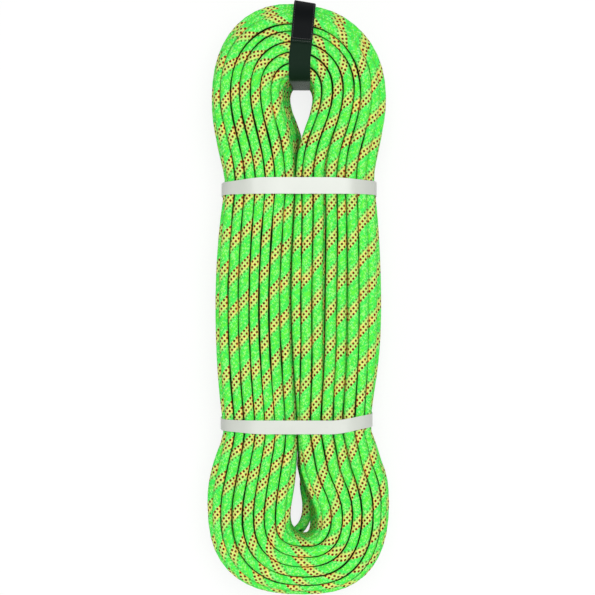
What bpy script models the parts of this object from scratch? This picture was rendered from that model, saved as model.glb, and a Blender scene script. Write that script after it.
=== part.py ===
"""A dynamic climbing rope of 9.8 mm, factory-wound into a hank that lies flat on its back.

X runs across the hank, Y along it and Z up through its thickness, in metres.
The rope lies in two bundles, side by side, that join round an eye at each end. A section
through a bundle is a rounded rectangle. The outer turns walk once round that section, one
place a turn, as a single unbroken tube, over a plain core that stands for the turns below.
Two welded plastic bands hold the waist. A webbing strap with a hook-and-loop closure goes
through the upper eye, and its free end is a flap that peels up.
"""

import math

import bmesh
import bpy
import numpy as np
from mathutils import Vector

# ---------------------------------------------------------------- the rope
ROPE_DIAMETER = 0.0098
TURN_GAP = 0.00065          # air between two neighbouring turns, at the least
OUTER_TURNS = 24            # turns in the outer layer
FIT_GAP = 0.0003            # air between two pieces that touch on the real hank
CORE_GAP = 0.0004           # air between the outer turns and the turns below

# ---------------------------------------------------------------- the hank
HANK_LENGTH = 0.5635        # over the rope, lobe to lobe
WAIST_HALF_GAP = 0.00026    # half the air between the two bundles where they touch
MIDDLE_WIDTH = 0.1562       # over the bulge between the bands
BAND_WAIST_WIDTH = 0.1404   # over the rope under a band
MIDDLE_THICKNESS = 0.0880   # of the rope there, at the least
MIDDLE_BULGE_RISE = 0.4     # how far up the middle the lower bulge point lies, as a share
OUTER_CORNER = 0.018        # section's corner radii, at the middle of the rope
INNER_CORNER = 0.012

# Each lobe is a squarish half oval outside and a rounder one round its eye.
LOBE_SHARPNESS = 2.35
EYE_SHARPNESS = 3.0
LOBE_ANGLES = (0.0, 31.0, 70.0)   # degrees up from the lobe's widest place
EYE_ANGLES = (0.0, 50.0, 72.0)
STEEPEST_CLIMB = 0.14       # of the turns at an eye, as they go round a lobe
UPPER_LOBE_WIDTH = 0.1670
UPPER_LOBE_DEPTH = 0.0870   # from the widest place to the hank's end
UPPER_EYE_HALF_WIDTH = 0.0113
UPPER_EYE_DEPTH = 0.0173    # from the eye's widest place to its round end
UPPER_END_THICKNESS = 0.0690   # rope from the eye to the hank's end
UPPER_EYE_X = 0.003
LOWER_LOBE_WIDTH = 0.1728
LOWER_LOBE_DEPTH = 0.0900
LOWER_EYE_HALF_WIDTH = 0.0125
LOWER_EYE_DEPTH = 0.0170
LOWER_END_THICKNESS = 0.0640
LOWER_EYE_X = 0.005

# ---------------------------------------------------------------- the bands
BAND_WIDTH = 0.015
BAND_THICKNESS = 0.0008
BAND_LAP = 0.022            # length of the welded lap, on the left side
BAND_MARGIN = 0.0006        # rope that runs straight beyond each edge of a band
UPPER_BAND_Y = 0.1063
LOWER_BAND_Y = -0.1180

# ---------------------------------------------------------------- the rope's end
SLEEVE_LENGTH = 0.032
SLEEVE_WALL = 0.0006
TIP_BEYOND_SLEEVE = 0.003
END_AFTER_BAND = 0.046      # from the lower band's edge to the rope's tip
DIVE_STEPS = 6              # runs in which the first turn comes up out of the core

# ---------------------------------------------------------------- the strap
STRAP_WIDTH = 0.020
STRAP_EYE_WIDTH = 0.0185    # drawn in where it passes the eye
STRAP_THICKNESS = 0.0012
STRAP_EYE_DROP = 0.0055     # the strap crosses the round eye as a chord, this far below its end
STRAP_LEAN = math.radians(5.6)   # slant across the front
STRAP_TOP_X = 0.0070        # its middle at the hank's end
PATCH_THICKNESS = 0.0006
PATCH_MARGIN = 0.002        # from the flap's free end to the patches
PATCH_LENGTH = 0.025
PATCH_WIDTH = 0.019
LABEL_THICKNESS = 0.0004
LABEL_MARGIN = 0.0025
LABEL_LENGTH = 0.028
LABEL_WIDTH = 0.0184
FLAP_FREE_LENGTH = 0.0165   # flat part of the flap, below the round corner
FLAP_HINGE_ANGLE = math.radians(45.0)   # place of the hinge on the hank's upper front corner
STRAP_START_ANGLE = math.radians(56.0)  # the webbing's inner end, under the flap

# ---------------------------------------------------------------- colours
NEON_GREEN = (0.16, 0.83, 0.10, 1.0)
DEEP_GREEN = (0.07, 0.50, 0.06, 1.0)
SATIN_WHITE = (0.80, 0.80, 0.78, 1.0)
STRAP_BLACK = (0.012, 0.014, 0.015, 1.0)
LOOP_BLACK = (0.020, 0.021, 0.022, 1.0)
LABEL_BLACK = (0.006, 0.007, 0.008, 1.0)
SLEEVE_BLACK = (0.018, 0.018, 0.020, 1.0)

ROPE_RADIUS = ROPE_DIAMETER / 2
LEAST_PITCH = ROPE_DIAMETER + TURN_GAP
SLEEVE_RADIUS = ROPE_RADIUS + FIT_GAP + SLEEVE_WALL
SLOT_EXTRA = SLEEVE_WALL + 2 * FIT_GAP - TURN_GAP   # room for the sleeve beside the end's turn


# ================================================================ small helpers
def material(name, colour, roughness):
    """A plain finish for one kind of piece."""
    made = bpy.data.materials.new(name)
    made.use_nodes = True
    shader = made.node_tree.nodes["Principled BSDF"]
    shader.inputs["Base Color"].default_value = colour
    shader.inputs["Roughness"].default_value = roughness
    shader.inputs["Metallic"].default_value = 0.0
    return made


def add_object(name, data, finish, parent):
    """Puts one piece in the scene under its parent empty."""
    made = bpy.data.objects.new(name, data)
    bpy.context.scene.collection.objects.link(made)
    if finish is not None:
        data.materials.append(finish)
    made.parent = parent
    if parent.parent is not None:
        made.location = -parent.location
    return made


def add_empty(name, place, parent):
    """Adds an empty at a place given in the hank's own frame."""
    made = bpy.data.objects.new(name, None)
    bpy.context.scene.collection.objects.link(made)
    made.parent = parent
    made.location = place
    return made


def closed_mesh(name, corners, faces):
    """A mesh from corners and faces, with its faces turned outwards."""
    shape = bmesh.new()
    made = [shape.verts.new(corner) for corner in corners]
    for face in faces:
        shape.faces.new([made[k] for k in face])
    bmesh.ops.recalc_face_normals(shape, faces=shape.faces)
    mesh = bpy.data.meshes.new(name)
    shape.to_mesh(mesh)
    shape.free()
    mesh.shade_smooth()
    mesh.set_sharp_from_angle(angle=math.radians(40))
    return mesh


def loop_faces(loops, size, wrap):
    """Quads that join each loop of corners to the next, and the last to the first if wrap is set."""
    faces = []
    for a in range(loops if wrap else loops - 1):
        b = (a + 1) % loops
        for k in range(size):
            after = (k + 1) % size
            faces.append((a * size + k, a * size + after, b * size + after, b * size + k))
    return faces


def tube_curve(name, points, radius, resolution):
    """A tube along straight runs, closed at both ends."""
    curve = bpy.data.curves.new(name, "CURVE")
    curve.dimensions = "3D"
    curve.bevel_depth = radius
    curve.bevel_resolution = resolution
    curve.use_fill_caps = True
    spline = curve.splines.new("POLY")
    spline.points.add(len(points) - 1)
    for point, place in zip(spline.points, points):
        point.co = (*place, 1.0)
    return curve


def tube_mesh(name, points, radius, resolution):
    """The same tube as a mesh, which a Boolean can read."""
    guide = bpy.data.objects.new(name, tube_curve(name, points, radius, resolution))
    bpy.context.scene.collection.objects.link(guide)
    bpy.context.view_layer.update()
    graph = bpy.context.evaluated_depsgraph_get()
    mesh = bpy.data.meshes.new_from_object(guide.evaluated_get(graph))
    bpy.data.objects.remove(guide)
    return mesh


# ================================================================ the rope's route
END_Y = HANK_LENGTH / 2
UPPER_LOBE_Y = END_Y - UPPER_LOBE_DEPTH
LOWER_LOBE_Y = LOWER_LOBE_DEPTH - END_Y
UPPER_EYE_END_Y = END_Y - UPPER_END_THICKNESS
LOWER_EYE_END_Y = LOWER_END_THICKNESS - END_Y

# Heights of the middle of the back turns: on the ground, on a band, on the strap.
BACK_ON_GROUND = FIT_GAP + ROPE_RADIUS
BACK_ON_BAND = BAND_THICKNESS + FIT_GAP + ROPE_RADIUS
BACK_ON_STRAP = STRAP_THICKNESS + FIT_GAP + ROPE_RADIUS


def half_oval(half_width, depth, sharpness, angles):
    """Points of a squarish half oval. The last of them is `depth` above the widest place."""
    power = 2 / sharpness
    last = math.sin(math.radians(angles[-1]))
    for angle in map(math.radians, angles):
        yield half_width * math.cos(angle) ** power, depth * (math.sin(angle) / last) ** power


def side_stations(side):
    """Stations of one side, from the lower lobe's end to the upper lobe's end.

    Each is the rope's edge at the eye, its outer edge, the height of its back turns and the
    place of the band there.
    """
    eye = half_oval(LOWER_EYE_HALF_WIDTH, LOWER_EYE_DEPTH, EYE_SHARPNESS, EYE_ANGLES)
    outline = half_oval(LOWER_LOBE_WIDTH / 2, LOWER_LOBE_DEPTH, LOBE_SHARPNESS, LOBE_ANGLES)
    lower = []
    for (eye_x, eye_y), (out_x, out_y) in zip(eye, outline):
        inner = (LOWER_EYE_X + side * eye_x, LOWER_EYE_END_Y + LOWER_EYE_DEPTH - eye_y)
        lower.append((inner, (side * out_x, LOWER_LOBE_Y - out_y), BACK_ON_GROUND, None))
    reach = BAND_WIDTH / 2 + BAND_MARGIN
    low, high = LOWER_BAND_Y + reach, UPPER_BAND_Y - reach
    rise = MIDDLE_BULGE_RISE * (high - low)
    waist = []
    for y, width, band in (
        (LOWER_BAND_Y - reach, BAND_WAIST_WIDTH, LOWER_BAND_Y),
        (low, BAND_WAIST_WIDTH, LOWER_BAND_Y),
        (low + rise, MIDDLE_WIDTH, None),
        (high - rise, MIDDLE_WIDTH, None),
        (high, BAND_WAIST_WIDTH, UPPER_BAND_Y),
        (UPPER_BAND_Y + reach, BAND_WAIST_WIDTH, UPPER_BAND_Y),
    ):
        waist.append(((side * WAIST_HALF_GAP, y), (side * width / 2, y), BACK_ON_BAND, band))
    eye = half_oval(UPPER_EYE_HALF_WIDTH, UPPER_EYE_DEPTH, EYE_SHARPNESS, EYE_ANGLES)
    outline = half_oval(UPPER_LOBE_WIDTH / 2, UPPER_LOBE_DEPTH, LOBE_SHARPNESS, LOBE_ANGLES)
    upper = []
    for (eye_x, eye_y), (out_x, out_y) in zip(eye, outline):
        inner = (UPPER_EYE_X + side * eye_x, UPPER_EYE_END_Y - UPPER_EYE_DEPTH + eye_y)
        upper.append((inner, (side * out_x, UPPER_LOBE_Y + out_y), BACK_ON_GROUND, None))
    inner, outer, _, _ = upper[-1]
    upper[-1] = (inner, outer, BACK_ON_STRAP, None)
    return lower[::-1] + waist + upper


def arc_step(radius, pitch):
    """Way along an arc between two turns whose middles are one pitch apart."""
    return 2 * radius * math.asin(pitch / (2 * radius))


def turns_on_corners(pitch):
    """Turns that lie on the four corners of a section."""
    return math.pi * sum(corner / arc_step(corner, pitch) for corner in (INNER_CORNER, OUTER_CORNER))


def least_height(width):
    """Height of a section, at the middle of the rope, that the turns fill at the least pitch."""
    flats = (OUTER_TURNS - turns_on_corners(LEAST_PITCH)) * LEAST_PITCH + 2 * SLOT_EXTRA
    return flats / 2 + 2 * (INNER_CORNER + OUTER_CORNER) - width


def section_pitch(width, height):
    """The pitch at which the turns fill a section all round."""
    flats = 2 * (width + height) - 4 * (INNER_CORNER + OUTER_CORNER) - 2 * SLOT_EXTRA
    pitch = LEAST_PITCH
    for _ in range(30):
        pitch = flats / (OUTER_TURNS - turns_on_corners(pitch))
    return pitch


def on_section(turn, width, height, pitch):
    """Where a turn lies on a section: sideways, away from the eye, and up from the back turns.

    The walk starts at the middle of the back and goes to the eye, up, over the front and down.
    """
    x, z = 0.0, 0.0
    ahead = (-1.0, 0.0)
    corners = (INNER_CORNER, INNER_CORNER, OUTER_CORNER, OUTER_CORNER, 0.0)
    flats = (
        width / 2 - INNER_CORNER,
        height - 2 * INNER_CORNER,
        width - INNER_CORNER - OUTER_CORNER,
        height - 2 * OUTER_CORNER,
        width / 2 - OUTER_CORNER,
    )
    for leg, (length, radius) in enumerate(zip(flats, corners)):
        extra = SLOT_EXTRA if leg in (0, 4) else 0.0
        room = (length - extra) / pitch
        if turn <= room or leg == 4:
            way = turn * pitch
            if leg == 0:
                way += extra * min(turn, 1.0)
            if leg == 4:
                way += extra - extra * min(room - turn, 1.0)
            return x + ahead[0] * way, z + ahead[1] * way
        turn -= room
        x, z = x + ahead[0] * length, z + ahead[1] * length
        inward = (ahead[1], -ahead[0])
        room = math.pi / 2 * radius / arc_step(radius, pitch)
        angle = min(turn / room, 1.0) * math.pi / 2
        along, across = radius * math.sin(angle), radius * (1 - math.cos(angle))
        x, z = x + ahead[0] * along + inward[0] * across, z + ahead[1] * along + inward[1] * across
        if turn < room:
            return x, z
        turn -= room
        ahead = inward
    raise ValueError("a turn lies past the section's end")


class Station:
    """A section through a bundle: its middle, the way out from the eye, and its size."""

    def __init__(self, inner, outer, back, band):
        self.inner, self.outer = Vector(inner), Vector(outer)
        self.back, self.band = back, band
        self.middle = (self.inner + self.outer) / 2
        self.across = (self.outer - self.inner).normalized()

    def square_to(self, before, after):
        """How square the turns cross the section, from 0 to 1, on the side where it is less."""
        runs = (self.middle - before.middle, after.middle - self.middle)
        return min(abs(run.normalized().cross(self.across)) for run in runs)

    def widen(self, square):
        """Sets the width. A section crossed at a slant is stretched, as a mitre is."""
        self.stretch = 1 / square
        self.width = (self.outer - self.inner).length / self.stretch - ROPE_DIAMETER
        self.height = least_height(self.width)

    def point(self, sideways, up):
        flat = self.middle + self.across * (sideways * self.stretch)
        return Vector((flat.x, flat.y, self.back + up))

    def turn(self, turn):
        pitch = section_pitch(self.width, self.height)
        return self.point(*on_section(turn % OUTER_TURNS, self.width, self.height, pitch))


def hank_stations():
    """The stations of one turn. The first is the lower bulge of the right bundle."""
    right = [Station(*row) for row in side_stations(1)]
    left = [Station(*row) for row in reversed(side_stations(-1))]
    first = len(LOBE_ANGLES) + 2
    stations = right[first:] + left + right[:first]
    pairs = list(zip(stations, stations[1:] + stations[:1]))
    squares = [b.square_to(a, c) for (a, b), (_, c) in zip(pairs, pairs[1:] + pairs[:1])]
    squares = squares[-1:] + squares[:-1]
    for station, square in zip(stations, squares):
        alike = [q for s, q in zip(stations, squares) if s.band is not None and s.band == station.band]
        station.widen(min(alike, default=square))
    for _ in stations:
        for a, b in pairs:
            climb = STEEPEST_CLIMB * (a.inner - b.inner).length
            a.height = max(a.height, b.height - climb)
            b.height = max(b.height, a.height - climb)
    for station in stations:
        alike = [s.height for s in stations if s.band is not None and s.band == station.band]
        station.height = max(alike, default=station.height)
        if station.back == BACK_ON_BAND and station.band is None:
            station.height = max(station.height, MIDDLE_THICKNESS - ROPE_DIAMETER)
    return stations


def smooth(share):
    """Rises from 0 to 1 with level ends."""
    share = min(max(share, 0.0), 1.0)
    return share * share * (3 - 2 * share)


def rope_route(stations):
    """The middle of the rope, from where it leaves the core to its free end."""
    count = len(stations)

    def place(step):
        return stations[step % count].turn(step / count)

    last = OUTER_TURNS * count
    band_edge, below, above = place(last - 1), place(last), place(1)
    run = (below - band_edge).normalized()
    sunk = Vector((0.0, 0.0, ROPE_DIAMETER))
    route = [below - run * ROPE_DIAMETER + sunk, below + sunk]
    for k in range(1, DIVE_STEPS):
        share = k / DIVE_STEPS
        route.append(below.lerp(above, share) + sunk * (1 - smooth(share)))
    route += [place(step) for step in range(1, last)]
    route.append(band_edge + run * END_AFTER_BAND)
    return route


def least_gap(route):
    """The least air between the tube and itself, measured on points along each run."""
    points = np.array([tuple(point) for point in route])
    starts, runs = points[:-1], np.diff(points, axis=0)
    lengths = np.linalg.norm(runs, axis=1)
    begun = np.concatenate(([0.0], np.cumsum(lengths)))
    least = math.inf
    for share in (0.0, 0.25, 0.5, 0.75):
        for k in range(len(starts)):
            point = starts[k] + runs[k] * share
            along = np.einsum("ij,ij->i", point - starts, runs) / lengths**2
            along = np.clip(along, 0.0, 1.0)
            near = starts + runs * along[:, None]
            apart = np.abs(begun[k] + share * lengths[k] - begun[:-1] - along * lengths)
            away = np.linalg.norm(point - near, axis=1)[apart > 4 * ROPE_DIAMETER]
            least = min(least, float(away.min()))
    return least - ROPE_DIAMETER


# ================================================================ the rope's pieces
def core_loop(station, corner_steps=4):
    """One loop of corners round the turns below the outer layer."""
    sink = ROPE_RADIUS + CORE_GAP
    corners = []
    for toward, up, radius, start in (
        (-1, 1, INNER_CORNER, 180),
        (1, 1, OUTER_CORNER, 90),
        (1, 0, OUTER_CORNER, 0),
        (-1, 0, INNER_CORNER, -90),
    ):
        x = toward * (station.width / 2 - radius)
        z = station.height - radius if up else radius
        for k in range(corner_steps + 1):
            angle = math.radians(start - 90 * k / corner_steps)
            reach = radius - sink
            corners.append(station.point(x + reach * math.cos(angle), z + reach * math.sin(angle)))
    return corners


def cut_pocket(core, name, way, radius, finish, parent):
    """Cuts a round channel along the way into the core."""
    flat_to_corner = math.cos(math.radians(22.5))
    mesh = tube_mesh(name, way, (radius + CORE_GAP) / flat_to_corner, 2)
    cutter = add_object(name, mesh, finish, parent)
    cutter.hide_render = True
    cutter.display_type = "WIRE"
    pocket = core.modifiers.new(name, "BOOLEAN")
    pocket.operation = "DIFFERENCE"
    pocket.solver = "EXACT"
    pocket.object = cutter


def make_core(stations, route, finish, parent):
    """The turns below as one plain solid, with pockets where the rope comes up and for its sleeve."""
    loops = [core_loop(station) for station in stations]
    size = len(loops[0])
    corners = [corner for loop in loops for corner in loop]
    mesh = closed_mesh("rope_inner_turns", corners, loop_faces(len(loops), size, wrap=True))
    core = add_object("rope_inner_turns", mesh, finish, parent)
    start = route[0] - (route[1] - route[0]).normalized() * FIT_GAP
    above_turn = route[DIVE_STEPS + 1] - Vector((0.0, 0.0, ROPE_RADIUS / 2))
    rise = [start] + route[1 : DIVE_STEPS + 1] + [above_turn]
    cut_pocket(core, "rise_cutter", rise, ROPE_RADIUS, finish, parent)
    near, far = sleeve_ends(route)
    along = (far - near).normalized() * 2 * FIT_GAP
    cut_pocket(core, "sleeve_cutter", [near - along, far + along], SLEEVE_RADIUS, finish, parent)
    return core


def make_outer_turns(route, finish, parent):
    """The outer turns, one unbroken tube."""
    return add_object(
        "rope_outer_turns", tube_curve("rope_outer_turns", route, ROPE_RADIUS, 1), finish, parent
    )


def sleeve_ends(route):
    """Where the sleeve begins and ends on the rope's last run."""
    run = (route[-1] - route[-2]).normalized()
    far = route[-1] - run * TIP_BEYOND_SLEEVE
    return far - run * SLEEVE_LENGTH, far


def make_end_sleeve(route, finish, parent, sides=24):
    """The sleeve shrunk round the rope's free end."""
    near, far = sleeve_ends(route)
    run = (far - near).normalized()
    side = run.cross(Vector((0.0, 0.0, 1.0))).normalized()
    up = side.cross(run)
    bore = SLEEVE_RADIUS - SLEEVE_WALL
    corners = []
    for place, radius in ((near, bore), (near, SLEEVE_RADIUS), (far, SLEEVE_RADIUS), (far, bore)):
        for k in range(sides):
            angle = 2 * math.pi * k / sides
            corners.append(place + side * (radius * math.cos(angle)) + up * (radius * math.sin(angle)))
    mesh = closed_mesh("rope_end_sleeve", corners, loop_faces(4, sides, wrap=True))
    return add_object("rope_end_sleeve", mesh, finish, parent)


# ================================================================ the bands
def band_outline(half_width, low, high, radius, corner_steps=8):
    """Points round a band's inner face with their way out and how many layers lie there."""
    middle = (low + high) / 2
    step = BAND_THICKNESS / 4
    rows = []
    for toward, z, start in ((1, low + radius, -90), (1, high - radius, 0), (-1, high - radius, 90)):
        for k in range(corner_steps + 1):
            angle = math.radians(start + 90 * k / corner_steps)
            out = (math.cos(angle), math.sin(angle))
            x = toward * (half_width - radius) + radius * out[0]
            rows.append((x, z + radius * out[1], out, 1))
    for z, layers in (
        (middle + BAND_LAP / 2 + step, 1),
        (middle + BAND_LAP / 2, 2),
        (middle - BAND_LAP / 2, 2),
        (middle - BAND_LAP / 2 - step, 1),
    ):
        rows.append((-half_width, z, (-1.0, 0.0), layers))
    for k in range(corner_steps + 1):
        angle = math.radians(180 + 90 * k / corner_steps)
        out = (math.cos(angle), math.sin(angle))
        rows.append((radius * out[0] - half_width + radius, low + radius * (1 + out[1]), out, 1))
    return rows


def make_band(name, y, height, finish, parent):
    """A flat plastic band pulled round the waist, its ends welded in a lap on the left side."""
    half_width = BAND_WAIST_WIDTH / 2 + FIT_GAP
    high = BACK_ON_BAND + height + ROPE_RADIUS + FIT_GAP
    radius = OUTER_CORNER + ROPE_RADIUS + FIT_GAP
    rows = band_outline(half_width, BAND_THICKNESS, high, radius)
    corners = []
    for edge, outer in ((-1, False), (-1, True), (1, True), (1, False)):
        for x, z, out, layers in rows:
            reach = layers * BAND_THICKNESS if outer else 0.0
            corners.append((x + out[0] * reach, y + edge * BAND_WIDTH / 2, z + out[1] * reach))
    mesh = closed_mesh(name, corners, loop_faces(4, len(rows), wrap=True))
    return add_object(name, mesh, finish, parent)


# ================================================================ the strap
FLAP_RISE = STRAP_THICKNESS + 2 * PATCH_THICKNESS + 4 * FIT_GAP


class StrapPath:
    """The rope's surface that the strap goes round, as a way from the hank's upper front corner.

    The way starts where the outer end face meets the corner, and goes over the front, through
    the eye, along the back and up the end face again.
    """

    def __init__(self, station):
        outer, inner = OUTER_CORNER + ROPE_RADIUS, INNER_CORNER + ROPE_RADIUS
        low = station.back - ROPE_RADIUS
        high = low + station.height + ROPE_DIAMETER
        eye_y = UPPER_EYE_END_Y - STRAP_EYE_DROP
        self.legs = []
        self.length = 0.0
        for y, z, radius, flat in (
            (END_Y - outer, high - outer, outer, END_Y - eye_y - outer - inner),
            (eye_y + inner, high - inner, inner, high - low - 2 * inner),
            (eye_y + inner, low + inner, inner, END_Y - eye_y - outer - inner),
            (END_Y - outer, low + outer, outer, high - low - 2 * outer),
        ):
            self.legs.append((self.length, y, z, radius, flat))
            self.length += radius * math.pi / 2 + flat
        self.corner = outer * math.pi / 2
        _, self.eye_corner, self.back_corner, self.top_corner = (leg[0] for leg in self.legs)
        self.eye_side = self.eye_corner + inner * math.pi / 2
        self.back = self.back_corner + inner * math.pi / 2
        self.top_side = self.top_corner + self.corner

    def at(self, way):
        """The point there and its way out."""
        way = way % self.length
        for k, (begun, y, z, radius, flat) in enumerate(self.legs):
            arc = radius * math.pi / 2
            if way - begun <= arc + flat or k == len(self.legs) - 1:
                turned = min((way - begun) / radius, math.pi / 2) + k * math.pi / 2
                out = Vector((math.cos(turned), math.sin(turned)))
                along = Vector((-out.y, out.x)) * max(way - begun - arc, 0.0)
                return Vector((y, z)) + out * radius + along, out
        raise ValueError("no place on the strap's path")

    def stops(self, start, end, corner_steps=10, flat_steps=3):
        """Ways between start and end at which a strip needs a corner."""
        found = [start, end]
        for lap in (0.0, self.length):
            for begun, _, _, radius, flat in self.legs:
                arc = radius * math.pi / 2
                found += [lap + begun + arc * k / corner_steps for k in range(corner_steps + 1)]
                found += [lap + begun + arc + flat * k / flat_steps for k in range(1, flat_steps)]
        least = 0.0004
        inside = sorted(way for way in found if start + least < way < end - least)
        return [start] + inside + [end]


def make_strip(name, path, ways, rise, thickness, width, finish, parent):
    """A strip of webbing along the path, `rise` over the rope. Both may change along the way."""
    places = path.stops(*ways)
    corners = []
    for way in places:
        place, out = path.at(way)
        middle = strap_middle_x(path, way)
        half = (width(way) if callable(width) else width) / 2
        low = place + out * (rise(way) if callable(rise) else rise)
        high = low + out * thickness
        corners += [
            (middle - half, low.x, low.y),
            (middle + half, low.x, low.y),
            (middle + half, high.x, high.y),
            (middle - half, high.x, high.y),
        ]
    last = len(corners) - 4
    faces = loop_faces(len(places), 4, wrap=False)
    faces += [(0, 1, 2, 3), (last, last + 1, last + 2, last + 3)]
    return add_object(name, closed_mesh(name, corners, faces), finish, parent)


def strap_middle_x(path, way):
    """The strap slants across the front, and its middle is the eye's where it passes the eye."""
    way = way % path.length
    place, _ = path.at(min(way, path.eye_corner))
    slanted = STRAP_TOP_X - math.tan(STRAP_LEAN) * (END_Y - place.x)
    ways = (path.eye_corner, path.eye_side, path.back_corner, path.top_corner, path.length)
    places = (slanted, UPPER_EYE_X, UPPER_EYE_X, STRAP_TOP_X, STRAP_TOP_X)
    return float(np.interp(way, ways, places))


def make_strap(station, finishes, parent):
    """The webbing loop, the closure's two patches, the flap and its label."""
    path = StrapPath(station)
    outer = OUTER_CORNER + ROPE_RADIUS
    hinge = outer * FLAP_HINGE_ANGLE
    flap_end = path.corner + FLAP_FREE_LENGTH
    patch_end = flap_end - PATCH_MARGIN
    label_end = flap_end - LABEL_MARGIN
    loop_rise = STRAP_THICKNESS + 2 * FIT_GAP
    hook_rise = loop_rise + PATCH_THICKNESS + FIT_GAP

    def webbing_rise(way):
        climbed = (way - path.top_side) / (path.length + hinge - path.top_side)
        return FIT_GAP + (FLAP_RISE - FIT_GAP) * smooth(climbed)

    def webbing_width(way):
        ways = (path.eye_corner, path.eye_side, path.back_corner, path.back)
        widths = (STRAP_WIDTH, STRAP_EYE_WIDTH, STRAP_EYE_WIDTH, STRAP_WIDTH)
        return float(np.interp(way, ways, widths))

    axis_place, out = path.at(hinge)
    axis_place = axis_place + out * (FLAP_RISE + STRAP_THICKNESS)
    axis = add_empty("flap_hinge", (strap_middle_x(path, hinge), *axis_place), parent)
    webbing = (outer * STRAP_START_ANGLE, path.length + hinge - FIT_GAP / 2)
    flap = (hinge + FIT_GAP / 2, flap_end)
    patch = (patch_end - PATCH_LENGTH, patch_end)
    label = (label_end - LABEL_LENGTH, label_end)
    label_rise = FLAP_RISE + STRAP_THICKNESS + FIT_GAP
    for name, ways, rise, thickness, width, finish, holder in (
        ("strap_webbing", webbing, webbing_rise, STRAP_THICKNESS, webbing_width, "webbing", parent),
        ("strap_loop_patch", patch, loop_rise, PATCH_THICKNESS, PATCH_WIDTH, "loop", parent),
        ("strap_hook_patch", patch, hook_rise, PATCH_THICKNESS, PATCH_WIDTH, "hook", axis),
        ("strap_flap", flap, FLAP_RISE, STRAP_THICKNESS, STRAP_WIDTH, "webbing", axis),
        ("strap_label", label, label_rise, LABEL_THICKNESS, LABEL_WIDTH, "label", axis),
    ):
        make_strip(name, path, ways, rise, thickness, width, finishes[finish], holder)
    return axis


# ================================================================ the whole hank
def centre_of_box(objects):
    """Middle of the box round every piece, across and along the hank."""
    bpy.context.view_layer.update()
    graph = bpy.context.evaluated_depsgraph_get()
    places = []
    for piece in objects:
        mesh = bpy.data.meshes.new_from_object(piece.evaluated_get(graph))
        places += [piece.matrix_world @ corner.co for corner in mesh.vertices]
        bpy.data.meshes.remove(mesh)
    return [(min(p[k] for p in places) + max(p[k] for p in places)) / 2 for k in (0, 1)]


def build_hank():
    """Makes every piece and centres the hank on its origin."""
    for old in list(bpy.data.objects):
        bpy.data.objects.remove(old)
    hank = add_empty("hank", (0.0, 0.0, 0.0), None)
    rope_green = material("rope_green", NEON_GREEN, 0.75)
    inner_green = material("inner_green", DEEP_GREEN, 0.85)
    band_white = material("band_white", SATIN_WHITE, 0.35)
    sleeve_black = material("sleeve_black", SLEEVE_BLACK, 0.45)
    strap_finishes = {
        "webbing": material("webbing_black", STRAP_BLACK, 0.80),
        "loop": material("loop_black", LOOP_BLACK, 0.95),
        "hook": material("hook_black", LOOP_BLACK, 0.60),
        "label": material("label_black", LABEL_BLACK, 0.55),
    }

    stations = hank_stations()
    route = rope_route(stations)
    make_core(stations, route, inner_green, hank)
    make_outer_turns(route, rope_green, hank)
    make_end_sleeve(route, sleeve_black, hank)
    for name, y in (("upper_band", UPPER_BAND_Y), ("lower_band", LOWER_BAND_Y)):
        held = next(station for station in stations if station.band == y)
        make_band(name, y, held.height, band_white, hank)
    upper_end = next(s for s in stations if s.back == BACK_ON_STRAP)
    axis = make_strap(upper_end, strap_finishes, hank)

    solids = [o for o in bpy.data.objects if o.type in {"MESH", "CURVE"} and not o.hide_render]
    x, y = centre_of_box(solids)
    hank.location = (-x, -y, 0.0)
    bpy.context.view_layer.update()
    length = sum((b - a).length for a, b in zip(route, route[1:]))
    print(f"least gap of the tube to itself: {least_gap(route) * 1000:.3f} mm")
    print(f"outer turns: {length:.2f} m of rope")
    print("hinge:", [round(v, 6) for v in axis.matrix_world.translation])
    print("origin moved by:", round(-x, 6), round(-y, 6))


build_hank()
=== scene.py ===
"""A dynamic climbing rope of 60 m, factory-wound into a hank, lying flat on its back.

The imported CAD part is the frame. Round it this script winds the whole rope as one unbroken
cord, pulls the two plastic bands tight over it, and dresses the strap in the upper eye.
Metres throughout: X across the hank, Y along it, Z up out of its front.
"""

import math

import bpy
import numpy as np
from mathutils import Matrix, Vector
from mathutils.geometry import convex_hull_2d


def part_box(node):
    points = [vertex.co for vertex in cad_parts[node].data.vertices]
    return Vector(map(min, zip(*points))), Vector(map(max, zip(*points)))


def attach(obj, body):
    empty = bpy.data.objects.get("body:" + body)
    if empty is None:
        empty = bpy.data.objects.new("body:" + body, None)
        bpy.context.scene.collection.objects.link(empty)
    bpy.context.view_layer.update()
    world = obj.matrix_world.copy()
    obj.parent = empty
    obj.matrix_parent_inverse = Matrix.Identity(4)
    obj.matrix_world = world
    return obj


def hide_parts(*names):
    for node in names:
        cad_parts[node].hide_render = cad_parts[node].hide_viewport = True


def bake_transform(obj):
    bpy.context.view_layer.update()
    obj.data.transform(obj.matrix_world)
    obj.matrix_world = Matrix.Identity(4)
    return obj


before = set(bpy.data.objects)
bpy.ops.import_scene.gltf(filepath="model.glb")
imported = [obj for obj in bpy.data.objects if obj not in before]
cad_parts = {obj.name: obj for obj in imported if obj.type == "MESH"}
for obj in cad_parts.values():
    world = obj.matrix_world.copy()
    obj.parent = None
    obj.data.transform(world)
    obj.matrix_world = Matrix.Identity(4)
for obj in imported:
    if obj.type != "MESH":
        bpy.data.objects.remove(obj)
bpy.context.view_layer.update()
scene = bpy.context.scene
scene.view_settings.view_transform = "Standard"


# ================================================================ camera
# The photograph looks straight down on the hank's front from far away.
CAMERA_HEIGHT = 1.50          # over the floor
CAMERA_X = -0.0005
CAMERA_Y = 0.0004
VIEW_WIDTH = 0.5690           # that the frame spans, halfway through the hank,
HALF_DEPTH = 0.045            # which is so far over the floor

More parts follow.
